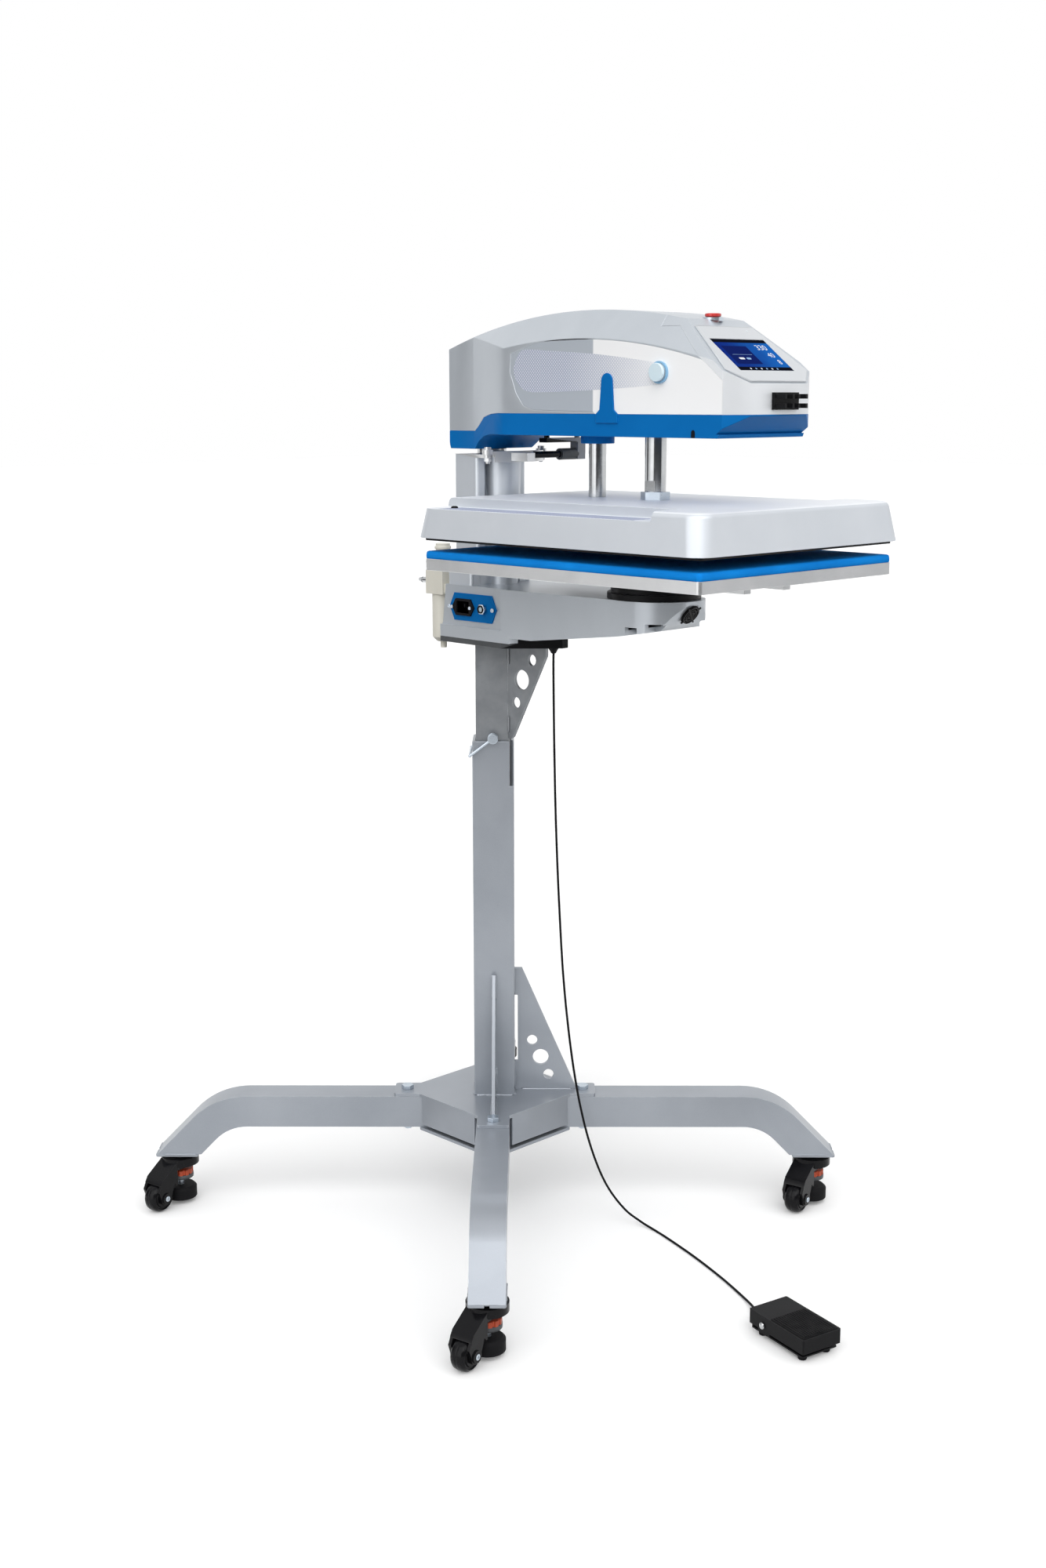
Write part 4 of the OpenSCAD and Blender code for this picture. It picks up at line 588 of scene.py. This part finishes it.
DRESS = {
    "legs": (STAND, 4.0), "leg_bolts": (ZINC, 0.5), "hub_top_plate": (STAND, 1.2),
    "hub_bottom_plate": (STAND, 0.8), "lower_column": (STAND, 1.5), "base_gussets": (STAND, 0.6),
    "caster_plates": (STAND, 0.8), "pedal_base": (BLACK, 0.4), "pedal_feet": (RUBBER, 0.8),
    "pedal_treadle": (BLACK, 0.8), "treadle_pad": (RUBBER, 0.3), "upper_column": (GALVANISED, 1.5),
    "column_gusset": (GALVANISED, 0.6), "mounting_plate": (DARK, 0.6), "hitch_pin": (ZINC, 0.8),
    "hitch_bail": (ZINC, 0.0), "base_casting": (HEAD_PAINT, 2.5), "post": (SILVER, 1.5),
    "swing_shaft": (STEEL, 0.5), "stop_strap": (MACHINED, 0.8), "inlet_plate": (BLUE, 0.4),
    "power_inlet": (BLACK, 0.6), "reset_button": (PALE, 0.6), "air_filter": (CREAM, 1.2),
    "air_nipple": (STEEL, 0.4), "fan_guard": (BLACK, 0.3), "platen_receiver": (BLACK, 1.5),
    "cord_gland": (BLACK, 1.0), "lower_platen": (MACHINED, 0.6), "head_cover": (HEAD_PAINT, 2.5),
    "head_tray": (BLUE, 1.0), "side_panels": (PANEL, 0.5), "control_nose": (NOSE_PAINT, 1.5),
    "control_fascia": (MEMBRANE, 0.5), "touch_screen": (GLASS, 0.3), "clip_holder": (BLACK, 0.6),
    "button_collars": (RING, 0.8), "swing_damper": (DARK, 0.6), "air_cylinder": (MACHINED, 0.8),
    "stop_button": (RED, 1.5), "palm_button_left": (PALE, 0.9), "palm_button_right": (PALE, 0.9),
    "piston_rod": (STEEL, 0.5), "guide_rod": (STEEL, 0.5), "platen_cover": (COVER_PAINT, 3.0),
    "heat_platen": (COATED, 0.8),
}
for corner in CORNERS:
    DRESS["caster_housing_" + corner] = (GLOSS_BLACK, 1.2)
    DRESS["caster_wheel_" + corner] = (GLOSS_BLACK, 0.4)
    DRESS["caster_foot_" + corner] = (RUBBER, 0.8)


def dress(name, material, width):
    obj = node[name]
    obj.data.materials.clear()
    obj.data.materials.append(material)
    for p in obj.data.polygons:
        p.use_smooth = True
        p.material_index = 0
    if width:
        soften(obj, width)


for name, (material, width) in DRESS.items():
    dress(name, material, width)

# Foam pad on the lower platen

PAD_CORNER = 7
PAD_LEAST_CORNER = 4.0


def make_pad():
    low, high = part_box("platen_pad")
    w, d = (high.x - low.x) / MM, (high.y - low.y) / MM
    t = (high.z - low.z) / MM
    mid = ((low.x + high.x) / 2 / MM, (low.y + high.y) / 2 / MM, low.z / MM)
    profile = [
        (1.0, 0.0), (0.2, 1.2), (0.0, t * 0.4), (0.4, t * 0.7),
        (1.4, t - 0.9), (3.2, t - 0.1), (8, t), (30, t),
    ]
    bm = bmesh.new()
    rings = []
    for inset, z in profile:
        corner_r = max(PAD_LEAST_CORNER, PAD_CORNER - inset)
        ring = rounded(w - 2 * inset, d - 2 * inset, corner_r, 5)
        rings.append([bm.verts.new((mid[0] + x, mid[1] + y, mid[2] + z)) for x, y in ring])
    for a, b in zip(rings, rings[1:]):
        bridge(bm, a, b)
    bm.faces.new(rings[0])
    bm.faces.new(rings[-1])
    pad = from_bmesh("foam_pad", bm, "draw", FOAM)
    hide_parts("platen_pad")


make_pad()

# Finishes by place on one CAD piece

THUMBWHEEL_LOW = 41
THUMBWHEEL_HIGH = 57
FOOT_STEM_R = 6
DAMPER_ROD_X = -6.5
DAMPER_BODY_X = 49
DAMPER_LINK_X = 80
DAMPER_LINK_Z = 1205
ROD_NUT_Z = 1147
POST_CAP_Z = 1189.5
STOP_COLLAR_Z = 1350
NOSE_BLOCK_Y = -107.9


def by_place(name, materials, choose):
    """Gives each face of a CAD node the material whose number choose(centre in mm, normal) returns."""
    mesh = node[name].data
    mesh.materials.clear()
    for m in materials:
        mesh.materials.append(m)
    for p in mesh.polygons:
        p.material_index = choose(p.center / MM, p.normal)


def ring_of(name, centre, axis, inner, outer, height, body, material, segments=40):
    """A washer with softened edges."""
    bm = bmesh.new()
    r = min(0.6, height * 0.35)
    profile = [
        (inner, 0), (outer, 0), (outer, height - r), (outer - r, height),
        (inner + r, height), (inner, height - r), (inner, 0),
    ]
    add_turned(bm, profile, facing(centre, axis), segments)
    for f in [f for f in bm.faces if len(f.verts) > 4]:
        bm.faces.remove(f)
    made = from_bmesh(name, bm, body, material)


def dress_caster_foot(corner):
    """Orange thumbwheel on a bright stem and a rubber pad, with a dark skirt under the thumbwheel."""
    name = "caster_foot_" + corner
    low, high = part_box(name)
    axis = (low + high) / 2 / MM

    def choose(c, n):
        out = math.hypot(c.x - axis.x, c.y - axis.y)
        if THUMBWHEEL_LOW < c.z < THUMBWHEEL_HIGH and out > FOOT_STEM_R:
            return 1
        return 2 if out < FOOT_STEM_R else 0

    by_place(name, [RUBBER, ORANGE, ZINC], choose)
    ring_of("thumbwheel_skirt_" + corner, (axis.x, axis.y, THUMBWHEEL_LOW + 0.5), (0, 0, 1), 8, 20.5, 6.5,
            "foot_" + corner, DARK)


def damper_part(c, n):
    """Rod, cylinder, link or end bracket of the swing damper, from left to right."""
    if c.x < DAMPER_ROD_X:
        return 0
    if c.x < DAMPER_BODY_X:
        return 1
    return 2 if c.x < DAMPER_LINK_X and c.z < DAMPER_LINK_Z else 3


for corner in CORNERS:
    dress_caster_foot(corner)

by_place("swing_damper", [STEEL, GLOSS_BLACK, DARK, GREY_CAST], damper_part)
by_place("piston_rod", [STEEL, ZINC], lambda c, n: int(c.z < ROD_NUT_Z and abs(n.z) < 0.5))
by_place("post", [SILVER, MACHINED], lambda c, n: int(c.z > POST_CAP_Z))
by_place("control_nose", [NOSE_PAINT, HEAD_PAINT], lambda c, n: int(n.z > 0.3))
by_place("button_collars", [RING, ZINC], lambda c, n: int(c.z > STOP_COLLAR_Z))
# painted light: the platen cover's upward faces get the lighter copy of its paint
by_place("platen_cover", [COVER_PAINT, COVER_TOP_LIT], lambda c, n: int(n.z > 0.7))
by_place("lower_platen", [MACHINED, PLATEN_EDGE], lambda c, n: int(n.y < -0.5))
by_place("mounting_plate", [DARK, BLACK], lambda c, n: int(c.y < NOSE_BLOCK_Y))

# Head

BEZEL_TILT = math.radians(37.5)
BEZEL_FOOT = Vector((0, -539, 1294))
MEMBRANE_MIDDLE = 62
MEMBRANE_SHRINK = 0.985
MEMBRANE_OUTLINE = [(58, 3), (85, 28), (59, 121), (-59, 121), (-85, 28), (-58, 3)]
SCREEN_HALF = 55.4
SCREEN_LOW = 26.6
SCREEN_HIGH = 92.4
READINGS = (("330", 45, 70.5, 15.0), ("40", 46, 55.0, 13.5), ("8", 47, 40.5, 13.0))


def bezel_place(x, up, lift):
    """A place on the sloping bezel: across, up the slope, off its surface."""
    rise = Vector((0, math.cos(BEZEL_TILT), math.sin(BEZEL_TILT)))
    out = Vector((0, -math.sin(BEZEL_TILT), math.cos(BEZEL_TILT)))
    origin = BEZEL_FOOT + Vector((x, 0, 0)) + rise * up + out * lift
    return place_at(origin, (1, 0, 0), rise)


def glowing(name, colour, strength=1.0, end=None):
    """A lit part of the screen: one colour, or a soft run to a second one across the screen."""
    material, tree, bsdf = new_material(name)
    bsdf.inputs["Base Color"].default_value = (0.003, 0.003, 0.004, 1)
    bsdf.inputs["Roughness"].default_value = 0.2
    bsdf.inputs["Specular IOR Level"].default_value = 0.0
    factor = use_group(tree, PATCHES, Scale=40.0 if end else 400.0)
    second = end or tuple(0.9 * c for c in colour)
    if end:
        across = add_node(tree, "ShaderNodeSeparateXYZ", {"Vector": own_place(tree)}).outputs["X"]
        run = ranged(tree, across, start=-0.03, end=0.055)
        factor = combine(tree, MATH, "MULTIPLY_ADD", factor, 0.22, run).outputs["Value"]
    tree.links.new(mix_colour(tree, factor, colour, second), bsdf.inputs["Emission Color"])
    bsdf.inputs["Emission Strength"].default_value = strength
    return material


def plate_on_bezel(name, x0, x1, up0, up1, lift, material, r=0.6):
    bm = bmesh.new()
    place = bezel_place((x0 + x1) / 2, (up0 + up1) / 2, lift)
    add_plate(bm, rounded(x1 - x0, up1 - up0, r, 3), 0.05, place)
    made = from_bmesh(name, bm, "head", material, smooth=False)


def make_reading(word, x, up, size, lift, material):
    """A number on the screen, as a thin raised mesh."""
    curve = bpy.data.curves.new("reading", "FONT")
    curve.body = word
    curve.size = size * MM
    curve.align_x = "RIGHT"
    curve.extrude = 0.02 * MM
    shown = bpy.data.objects.new("reading", curve)
    scene.collection.objects.link(shown)
    settled = shown.evaluated_get(bpy.context.evaluated_depsgraph_get())
    mesh = bpy.data.meshes.new_from_object(settled)
    bpy.data.objects.remove(shown)
    place = bezel_place(x, up, lift)
    mesh.transform(Matrix.Translation(place.translation * MM) @ place.to_3x3().to_4x4())
    piece("reading_" + word, mesh, "head", material, smooth=False)


def make_screen():
    """The screen's picture in thin layers, each lifted a little off the one below."""
    sky = glowing("screen_blue", (0.004, 0.016, 0.20), 1.0, (0.01, 0.13, 0.50))
    night = glowing("screen_dark", (0.003, 0.004, 0.010))
    box = glowing("screen_box", (0.004, 0.014, 0.13))
    white = glowing("screen_white", (0.92, 0.95, 1.0))
    pale = glowing("screen_pale", (0.35, 0.55, 0.85))
    ground, over, top, words = 1.0, 1.06, 1.12, 1.14
    plate_on_bezel("screen_field", -SCREEN_HALF, SCREEN_HALF, SCREEN_LOW, SCREEN_HIGH, ground, sky)
    plate_on_bezel("screen_header", -SCREEN_HALF, SCREEN_HALF, 85.6, SCREEN_HIGH, over, night)
    plate_on_bezel("screen_footer", -SCREEN_HALF, SCREEN_HALF, SCREEN_LOW, 33.6, over, night)
    plate_on_bezel("screen_box", -47, 4, 40, 78, over, box, 1.5)
    plate_on_bezel("screen_rule", -40, 0, 59.6, 60.0, top, pale, 0.1)
    plate_on_bezel("screen_bar_on", -34, -23, 49.5, 53.5, top, white, 1.9)
    plate_on_bezel("screen_bar_off", -19, -10, 49.5, 53.5, top, pale, 1.9)
    for i, x in enumerate((-31, -20, -9, 2, 13, 24)):
        colour = pale if i % 2 else white
        plate_on_bezel("screen_dot_%d" % i, x - 1.5, x + 1.5, 28.4, 31.6, top, colour, 1.4)
    for word, x, up, size in READINGS:
        make_reading(word, x, up, size, words, white)


def make_bezel_trim():
    """Status lamp, and a raised edge round the membrane."""
    bm = bmesh.new()
    add_turned(bm, [(1.8, 0), (1.8, 0.25), (1.2, 0.6), (0, 0.75)], bezel_place(39, 111, 1.5), 20)
    lamp = glowing("lamp_white", (0.9, 0.95, 1.0), 0.9)
    from_bmesh("status_lamp", bm, "head", lamp)
    bm = bmesh.new()
    path = []
    for x, up in MEMBRANE_OUTLINE:
        drawn_in = MEMBRANE_MIDDLE + (up - MEMBRANE_MIDDLE) * MEMBRANE_SHRINK
        path.append(bezel_place(x * MEMBRANE_SHRINK, drawn_in, 1.5).translation)
    add_tube(bm, path, 0.5, 6, closed=True)
    from_bmesh("membrane_edge", bm, "head", MEMBRANE)


DECAL = [
    (-139, 1317), (-146, 1332), (-160, 1342), (-209, 1340), (-298, 1334), (-380, 1325), (-404, 1321),
    (-420, 1313), (-424, 1307), (-418, 1299), (-404, 1293), (-298, 1287), (-194, 1284), (-164, 1286),
    (-150, 1294), (-141, 1306),
]
PANEL_X = 90.0
PRINT_T = 0.15
NOTCH_T = 0.4
NOTCH_Z = 1225.4
NOTCH_R = 3.2
NOTCHES = ((-117, 87.5), (-470, 90.0))


def make_side_prints():
    """A plain printed mesh on each side panel, and two screw notches in the tray's lower edge, drawn as
    thin near-black plates of painted shade.
    """
    outline = spline(DECAL + DECAL[:1], 5)[:-1]
    arch = [(-3.4, 0), (3.4, 0), (NOTCH_R, 6)]
    for a in (0.3, 0.9, 1.57, 2.2, 2.8):
        arch.append((NOTCH_R * math.cos(a), 7 + NOTCH_R * math.sin(a)))
    arch.append((-NOTCH_R, 6))
    for side, name in SIDES:
        bm = bmesh.new()
        x = PANEL_X if side > 0 else -PANEL_X - PRINT_T
        add_plate(bm, outline, PRINT_T, place_at((x, 0, 0), (0, 1, 0), (0, 0, 1)))
        from_bmesh("panel_print_" + name, bm, "head", PRINT, smooth=False)
        for k, (y, half) in enumerate(NOTCHES):
            bm = bmesh.new()
            place = place_at((side * half - NOTCH_T / 2, y, NOTCH_Z), (0, 1, 0), (0, 0, 1))
            add_plate(bm, arch, NOTCH_T, place)
            # a thin near-black plate of painted shade where the notch's hollow falls dark
            notch = from_bmesh("tray_notch_shade_%s_%d" % (name, k), bm, "head", SHADOW, smooth=False)


def screw(name, centre, axis, r, body, material, dome):
    """A domed screw head with a cross in its recess; dome is its height over its radius."""
    bm = bmesh.new()
    h = r * dome
    place = facing(centre, axis)
    profile = [
        (r, 0), (r, h * 0.4), (r * 0.92, h * 0.75), (r * 0.7, h),
        (r * 0.45, h), (r * 0.42, h * 0.45), (0, h * 0.45),
    ]
    add_turned(bm, profile, place, 24)
    a, b = r * 0.4, r * 0.1
    for turn in (0, 90):
        lift = Matrix.Translation((0, 0, h * 0.46))
        bar = place @ Matrix.Rotation(math.radians(turn), 4, "Z") @ lift
        add_plate(bm, [(-a, -b), (a, -b), (a, b), (-a, b)], h * 0.3, bar)
    made = from_bmesh(name, bm, body, material)


# Platens

LEDGE_DROP = 13
LEDGE_IN = 161
LEDGE_OUT = 205
LEDGE_BACK = -106
LEDGE_FRONT = -470
LEDGE_SCREW = [(5.2, 0), (5.2, 0.8), (4.6, 2.2), (3.4, 3.0), (2.2, 3.2), (2.2, 1.4), (0, 1.4)]


def make_cover_trim():
    """Printed strip and button-head screw on each ledge of the platen cover."""
    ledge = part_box("platen_cover")[1].z / MM - LEDGE_DROP
    for side, name in SIDES:
        bm = bmesh.new()
        edge = [
            (side * LEDGE_IN, LEDGE_BACK), (side * LEDGE_OUT, LEDGE_BACK),
            (side * LEDGE_OUT, LEDGE_FRONT), (side * LEDGE_IN, LEDGE_FRONT),
        ]
        add_plate(bm, edge, 0.2, Matrix.Translation((0, 0, ledge)))
        from_bmesh("ledge_print_" + name, bm, "press", HATCHED, smooth=False)
        bm = bmesh.new()
        add_turned(bm, LEDGE_SCREW, Matrix.Translation((side * 180, -112, ledge + 0.1)), 28)
        from_bmesh("ledge_screw_" + name, bm, "press", GLOSS_BLACK)


# Base and electrics

INLET_FACE = -72.0
INLET_Z = 970
INLET_PLATE_SCREWS = (-74.5, 18.5)
INLET_SCREWS = (-28.6, 10.6)
RESET_AT = (INLET_FACE, -52, INLET_Z)
FAN_SLOPE = math.atan2(22, 15)
FAN_BLADES = 7


def make_inlet_trim():
    """Screws of the inlet and its plate, and the nut and bush round the reset button."""
    left = (-1, 0, 0)
    for k, y in enumerate(INLET_PLATE_SCREWS):
        screw("inlet_plate_screw_%d" % k, (INLET_FACE, y, INLET_Z), left, 3.2, "column", ZINC, 0.6)
    for k, y in enumerate(INLET_SCREWS):
        screw("inlet_screw_%d" % k, (INLET_FACE - 2.6, y, INLET_Z), left, 2.6, "column", ZINC, 0.6)
    ring_of("reset_nut", RESET_AT, left, 5.6, 8.2, 2.6, "column", ZINC, 6)
    ring_of("reset_bush", RESET_AT, left, 4.2, 6.0, 4.6, "column", BLACK)


def make_fan():
    """Dark fan seen through its guard on the casting's front slope."""
    low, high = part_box("fan_guard")
    middle = (low + high) / 2 / MM
    out = Vector((0, -math.sin(FAN_SLOPE), -math.cos(FAN_SLOPE)))
    place = facing(middle - out * 2.4, out)
    bm = bmesh.new()
    add_turned(bm, [(15, 0), (15, 0.5), (5, 0.5), (5, 1.2), (0, 1.3)], place, 32)
    for k in range(FAN_BLADES):
        turn = Matrix.Rotation(2 * math.pi * k / FAN_BLADES, 4, "Z")
        blade = place @ turn @ Matrix.Translation((0, 0, 0.5))
        add_plate(bm, [(4.5, -1.5), (14, 1.0), (13.4, 4.2), (4.2, 1.6)], 0.5, blade)
    from_bmesh("fan_rotor", bm, "column", RUBBER)


# Welds and stand details

LOWER_HALF = 31.75
UPPER_HALF = 26.25
HUB_TOP = 191
UPPER_TOP = 914
ALL_TURNS = (45, 135, 225, 315)
GUSSET_TURNS = (225, 315)
GUSSET_WELDS = (
    (LOWER_HALF, 196, LOWER_HALF, 238, 10),
    (LOWER_HALF, 350, LOWER_HALF, 390, 20),
    (42, HUB_TOP, 122, HUB_TOP, 30),
)
CASTER_TURN = math.radians(191.5)
AXLE_REACH = 30


def add_weld(bm, a, b, r, seed):
    """A rippled weld bead from a to b."""
    a, b = Vector(a), Vector(b)
    count = max(6, int((b - a).length / 2.2))
    dice = random.Random(seed)
    path = []
    sizes = []
    for i in range(count + 1):
        shake = Vector((dice.uniform(-1, 1), dice.uniform(-1, 1), dice.uniform(-1, 1)))
        path.append(a.lerp(b, i / count) + shake * r * 0.08)
        if i in (0, count):
            sizes.append(r * 0.35)
        else:
            sizes.append(r * (dice.uniform(0.86, 1.08) * (1.0 if i % 2 else 0.9)))
    add_tube(bm, path, lambda i: sizes[i], 8)


def corner_point(turn, out, across, z):
    """A point by its distance out along a bearing, its distance across it and its height."""
    a = math.radians(turn)
    return (out * math.cos(a) - across * math.sin(a), out * math.sin(a) + across * math.cos(a), z)


def weld_along(bm, turn, start, end, r, seed):
    add_weld(bm, corner_point(turn, *start), corner_point(turn, *end), r, seed)


def make_stand_welds():
    """Beads along the gussets, round the column's foot and on the plates under the leg ends."""
    bm = bmesh.new()
    for i, turn in enumerate(GUSSET_TURNS):
        for side in (-1, 1):
            x = side * 3.2
            for out0, z0, out1, z1, seed in GUSSET_WELDS:
                weld_along(bm, turn, (out0, x, z0), (out1, x, z1), 2.2, seed + 4 * i + side)
    for i, turn in enumerate(ALL_TURNS):
        weld_along(bm, turn, (LOWER_HALF, -29, HUB_TOP), (LOWER_HALF, 29, HUB_TOP), 2.6, 50 + i)
        for side in (-1, 1):
            x = side * 25.6
            weld_along(bm, turn, (478, x, 88), (530, x, 88), 1.7, 60 + 4 * i + side)
    from_bmesh("stand_welds", bm, "stand", STAND)


def make_column_welds():
    """Beads round the upper column's top and along its gusset."""
    bm = bmesh.new()
    for i, turn in enumerate(ALL_TURNS):
        weld_along(bm, turn, (UPPER_HALF, -24, UPPER_TOP), (UPPER_HALF, 24, UPPER_TOP), 2.0, 80 + i)
    y = -UPPER_HALF * math.sqrt(2) - 0.5
    for side in (-1, 1):
        x = side * 3.4
        add_weld(bm, (x, y, 776), (x, y, 800), 1.9, 90 + side)
        add_weld(bm, (x, y, 880), (x, y, 908), 1.9, 94 + side)
        add_weld(bm, (x, -60, UPPER_TOP + 0.2), (x, -108, UPPER_TOP + 0.2), 1.7, 97 + side)
    from_bmesh("column_welds", bm, "column", GALVANISED)


def make_caster_screws():
    """Bright axle screw in both cheeks of each caster."""
    across = Vector((-math.sin(CASTER_TURN), math.cos(CASTER_TURN), 0))
    for corner in CORNERS:
        low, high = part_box("caster_wheel_" + corner)
        hub = (low + high) / 2 / MM
        housing = node["caster_housing_" + corner].data
        from_hub = [Vector(v.co) / MM - hub for v in housing.vertices]
        reach = max(abs(v.dot(across)) for v in from_hub if v.length < AXLE_REACH)
        for side, end in ((-1, "a"), (1, "b")):
            at = hub + across * side * (reach - 1.0)
            screw("axle_screw_%s_%s" % (corner, end), at, across * side, 4.4, "caster_" + corner, ZINC,
                  0.35)


# Pedal

PEDAL_TURN = math.radians(-12)
PEDAL_AT = Vector((-38, -634, 22))
PIVOT_AHEAD = 28
PIVOT_OUT = 34.2
PIVOT_CAP = [(5.0, 0), (5.0, 0.8), (4.4, 1.9), (3.0, 2.7), (0, 3.1)]
CORD_BOOT = [
    (4.4, -1), (4.4, 3), (3.6, 4), (3.8, 6), (3.2, 7),
    (3.4, 9), (2.8, 10), (3.0, 12), (2.2, 15), (1.8, 15),
]


def make_pedal_trim():
    """Caps on the treadle's pivot, and the ribbed boot where the cord goes in."""
    ahead = Vector((-math.sin(PEDAL_TURN), math.cos(PEDAL_TURN), 0))
    across = Vector((math.cos(PEDAL_TURN), math.sin(PEDAL_TURN), 0))
    pivot = PEDAL_AT + ahead * PIVOT_AHEAD
    for side, name in SIDES:
        bm = bmesh.new()
        add_turned(bm, PIVOT_CAP, facing(pivot + across * side * PIVOT_OUT, across * side), 28)
        from_bmesh("pivot_cap_" + name, bm, "stand", STEEL)
    bm = bmesh.new()
    entry = Vector(CORD[-1])
    back = (Vector(CORD[-2]) - entry).normalized()
    add_turned(bm, CORD_BOOT, facing(entry - back * 2, back), 20)
    from_bmesh("cord_boot", bm, "stand", RUBBER)


make_screen()
make_bezel_trim()
make_side_prints()
make_cover_trim()
make_inlet_trim()
make_fan()
make_stand_welds()
make_column_welds()
make_caster_screws()
make_pedal_trim()

# Studio

FLOOR_REACH = 30.0
FLOOR_LIT = (0.14, 0.14, 0.14)
FLOOR_SEEN = (0.98, 0.98, 0.98)
FLOOR_LIFT = 0.07
DOME_LOW = 0.10
DOME_HIGH = 0.90
WALL_TOP = 2300
WALL_REACH = 4200
WALL_STEPS = 24
SUN_SPREAD = 80


def seen_rays(tree):
    """1 for rays that look at a surface or at its mirror image, 0 for rays that carry light."""
    path = tree.nodes.new("ShaderNodeLightPath").outputs
    first = combine(tree, MATH, "ADD", path["Is Camera Ray"], path["Is Glossy Ray"], use_clamp=True)
    both = combine(tree, MATH, "ADD", first.outputs["Value"], path["Is Transmission Ray"], use_clamp=True)
    return both.outputs["Value"]


def make_floor():
    """White floor that takes shadows and throws little light back up."""
    bm = bmesh.new()
    bmesh.ops.create_grid(bm, x_segments=1, y_segments=1, size=FLOOR_REACH)
    mesh = bpy.data.meshes.new("floor")
    bm.to_mesh(mesh)
    bm.free()
    floor = bpy.data.objects.new("floor", mesh)
    scene.collection.objects.link(floor)
    material, tree, bsdf = new_material("studio_floor")
    seen = seen_rays(tree)
    tree.links.new(mix_colour(tree, seen, FLOOR_LIT, FLOOR_SEEN), bsdf.inputs["Base Color"])
    bsdf.inputs["Emission Color"].default_value = (1, 1, 1, 1)
    tree.links.new(ranged(tree, seen, 0.0, FLOOR_LIFT), bsdf.inputs["Emission Strength"])
    bsdf.inputs["Roughness"].default_value = 0.9
    bsdf.inputs["Specular IOR Level"].default_value = 0.0
    mesh.materials.append(material)


def make_world():
    """A white surround to look at, and a dome that grows brighter upwards to light the part."""
    world = bpy.data.worlds.new("studio")
    scene.world = world
    world.use_nodes = True
    tree = world.node_tree
    tree.nodes.clear()
    out = tree.nodes.new("ShaderNodeOutputWorld")
    where = add_node(tree, "ShaderNodeTexCoord").outputs["Generated"]
    up = add_node(tree, "ShaderNodeSeparateXYZ", {"Vector": where}).outputs["Z"]
    dome = ranged(tree, up, DOME_LOW, DOME_HIGH)
    level = mix_colour(tree, seen_rays(tree), dome, (1.0, 1.0, 1.0))
    sky = add_node(tree, "ShaderNodeBackground", {"Color": level})
    tree.links.new(sky.outputs[0], out.inputs["Surface"])


def soft_sun(name, direction, level):
    """An even light from one side; level 1 would show a facing surface at its own colour."""
    data = bpy.data.lights.new(name, "SUN")
    data.energy = level * math.pi
    data.angle = math.radians(SUN_SPREAD)
    lamp = bpy.data.objects.new(name, data)
    lamp.matrix_world = Vector(direction).to_track_quat("-Z", "Y").to_matrix().to_4x4()
    scene.collection.objects.link(lamp)


def dark_wall(name, start, end):
    """A curved dark backdrop between two bearings that only reflections see."""
    bm = bmesh.new()
    last = None
    for k in range(WALL_STEPS + 1):
        a = math.radians(start + (end - start) * k / WALL_STEPS)
        x, y = WALL_REACH * math.cos(a), WALL_REACH * math.sin(a)
        pair = [bm.verts.new((x, y, 0)), bm.verts.new((x, y, WALL_TOP))]
        if last:
            bm.faces.new((last[0], pair[0], pair[1], last[1]))
        last = pair
    wall = from_bmesh(name, bm, None, WALL, smooth=False)
    wall.visible_camera = False
    wall.visible_diffuse = False
    wall.visible_shadow = False
    wall.visible_transmission = False


make_floor()
make_world()
soft_sun("left_light", (0.86, 0.28, -0.42), 0.50)
soft_sun("front_light", (0.30, 0.80, -0.52), 0.52)
dark_wall("front_wall", 205, 285)
dark_wall("left_wall", 116, 142)
scene.view_settings.view_transform = "Standard"

bpy.context.view_layer.update()
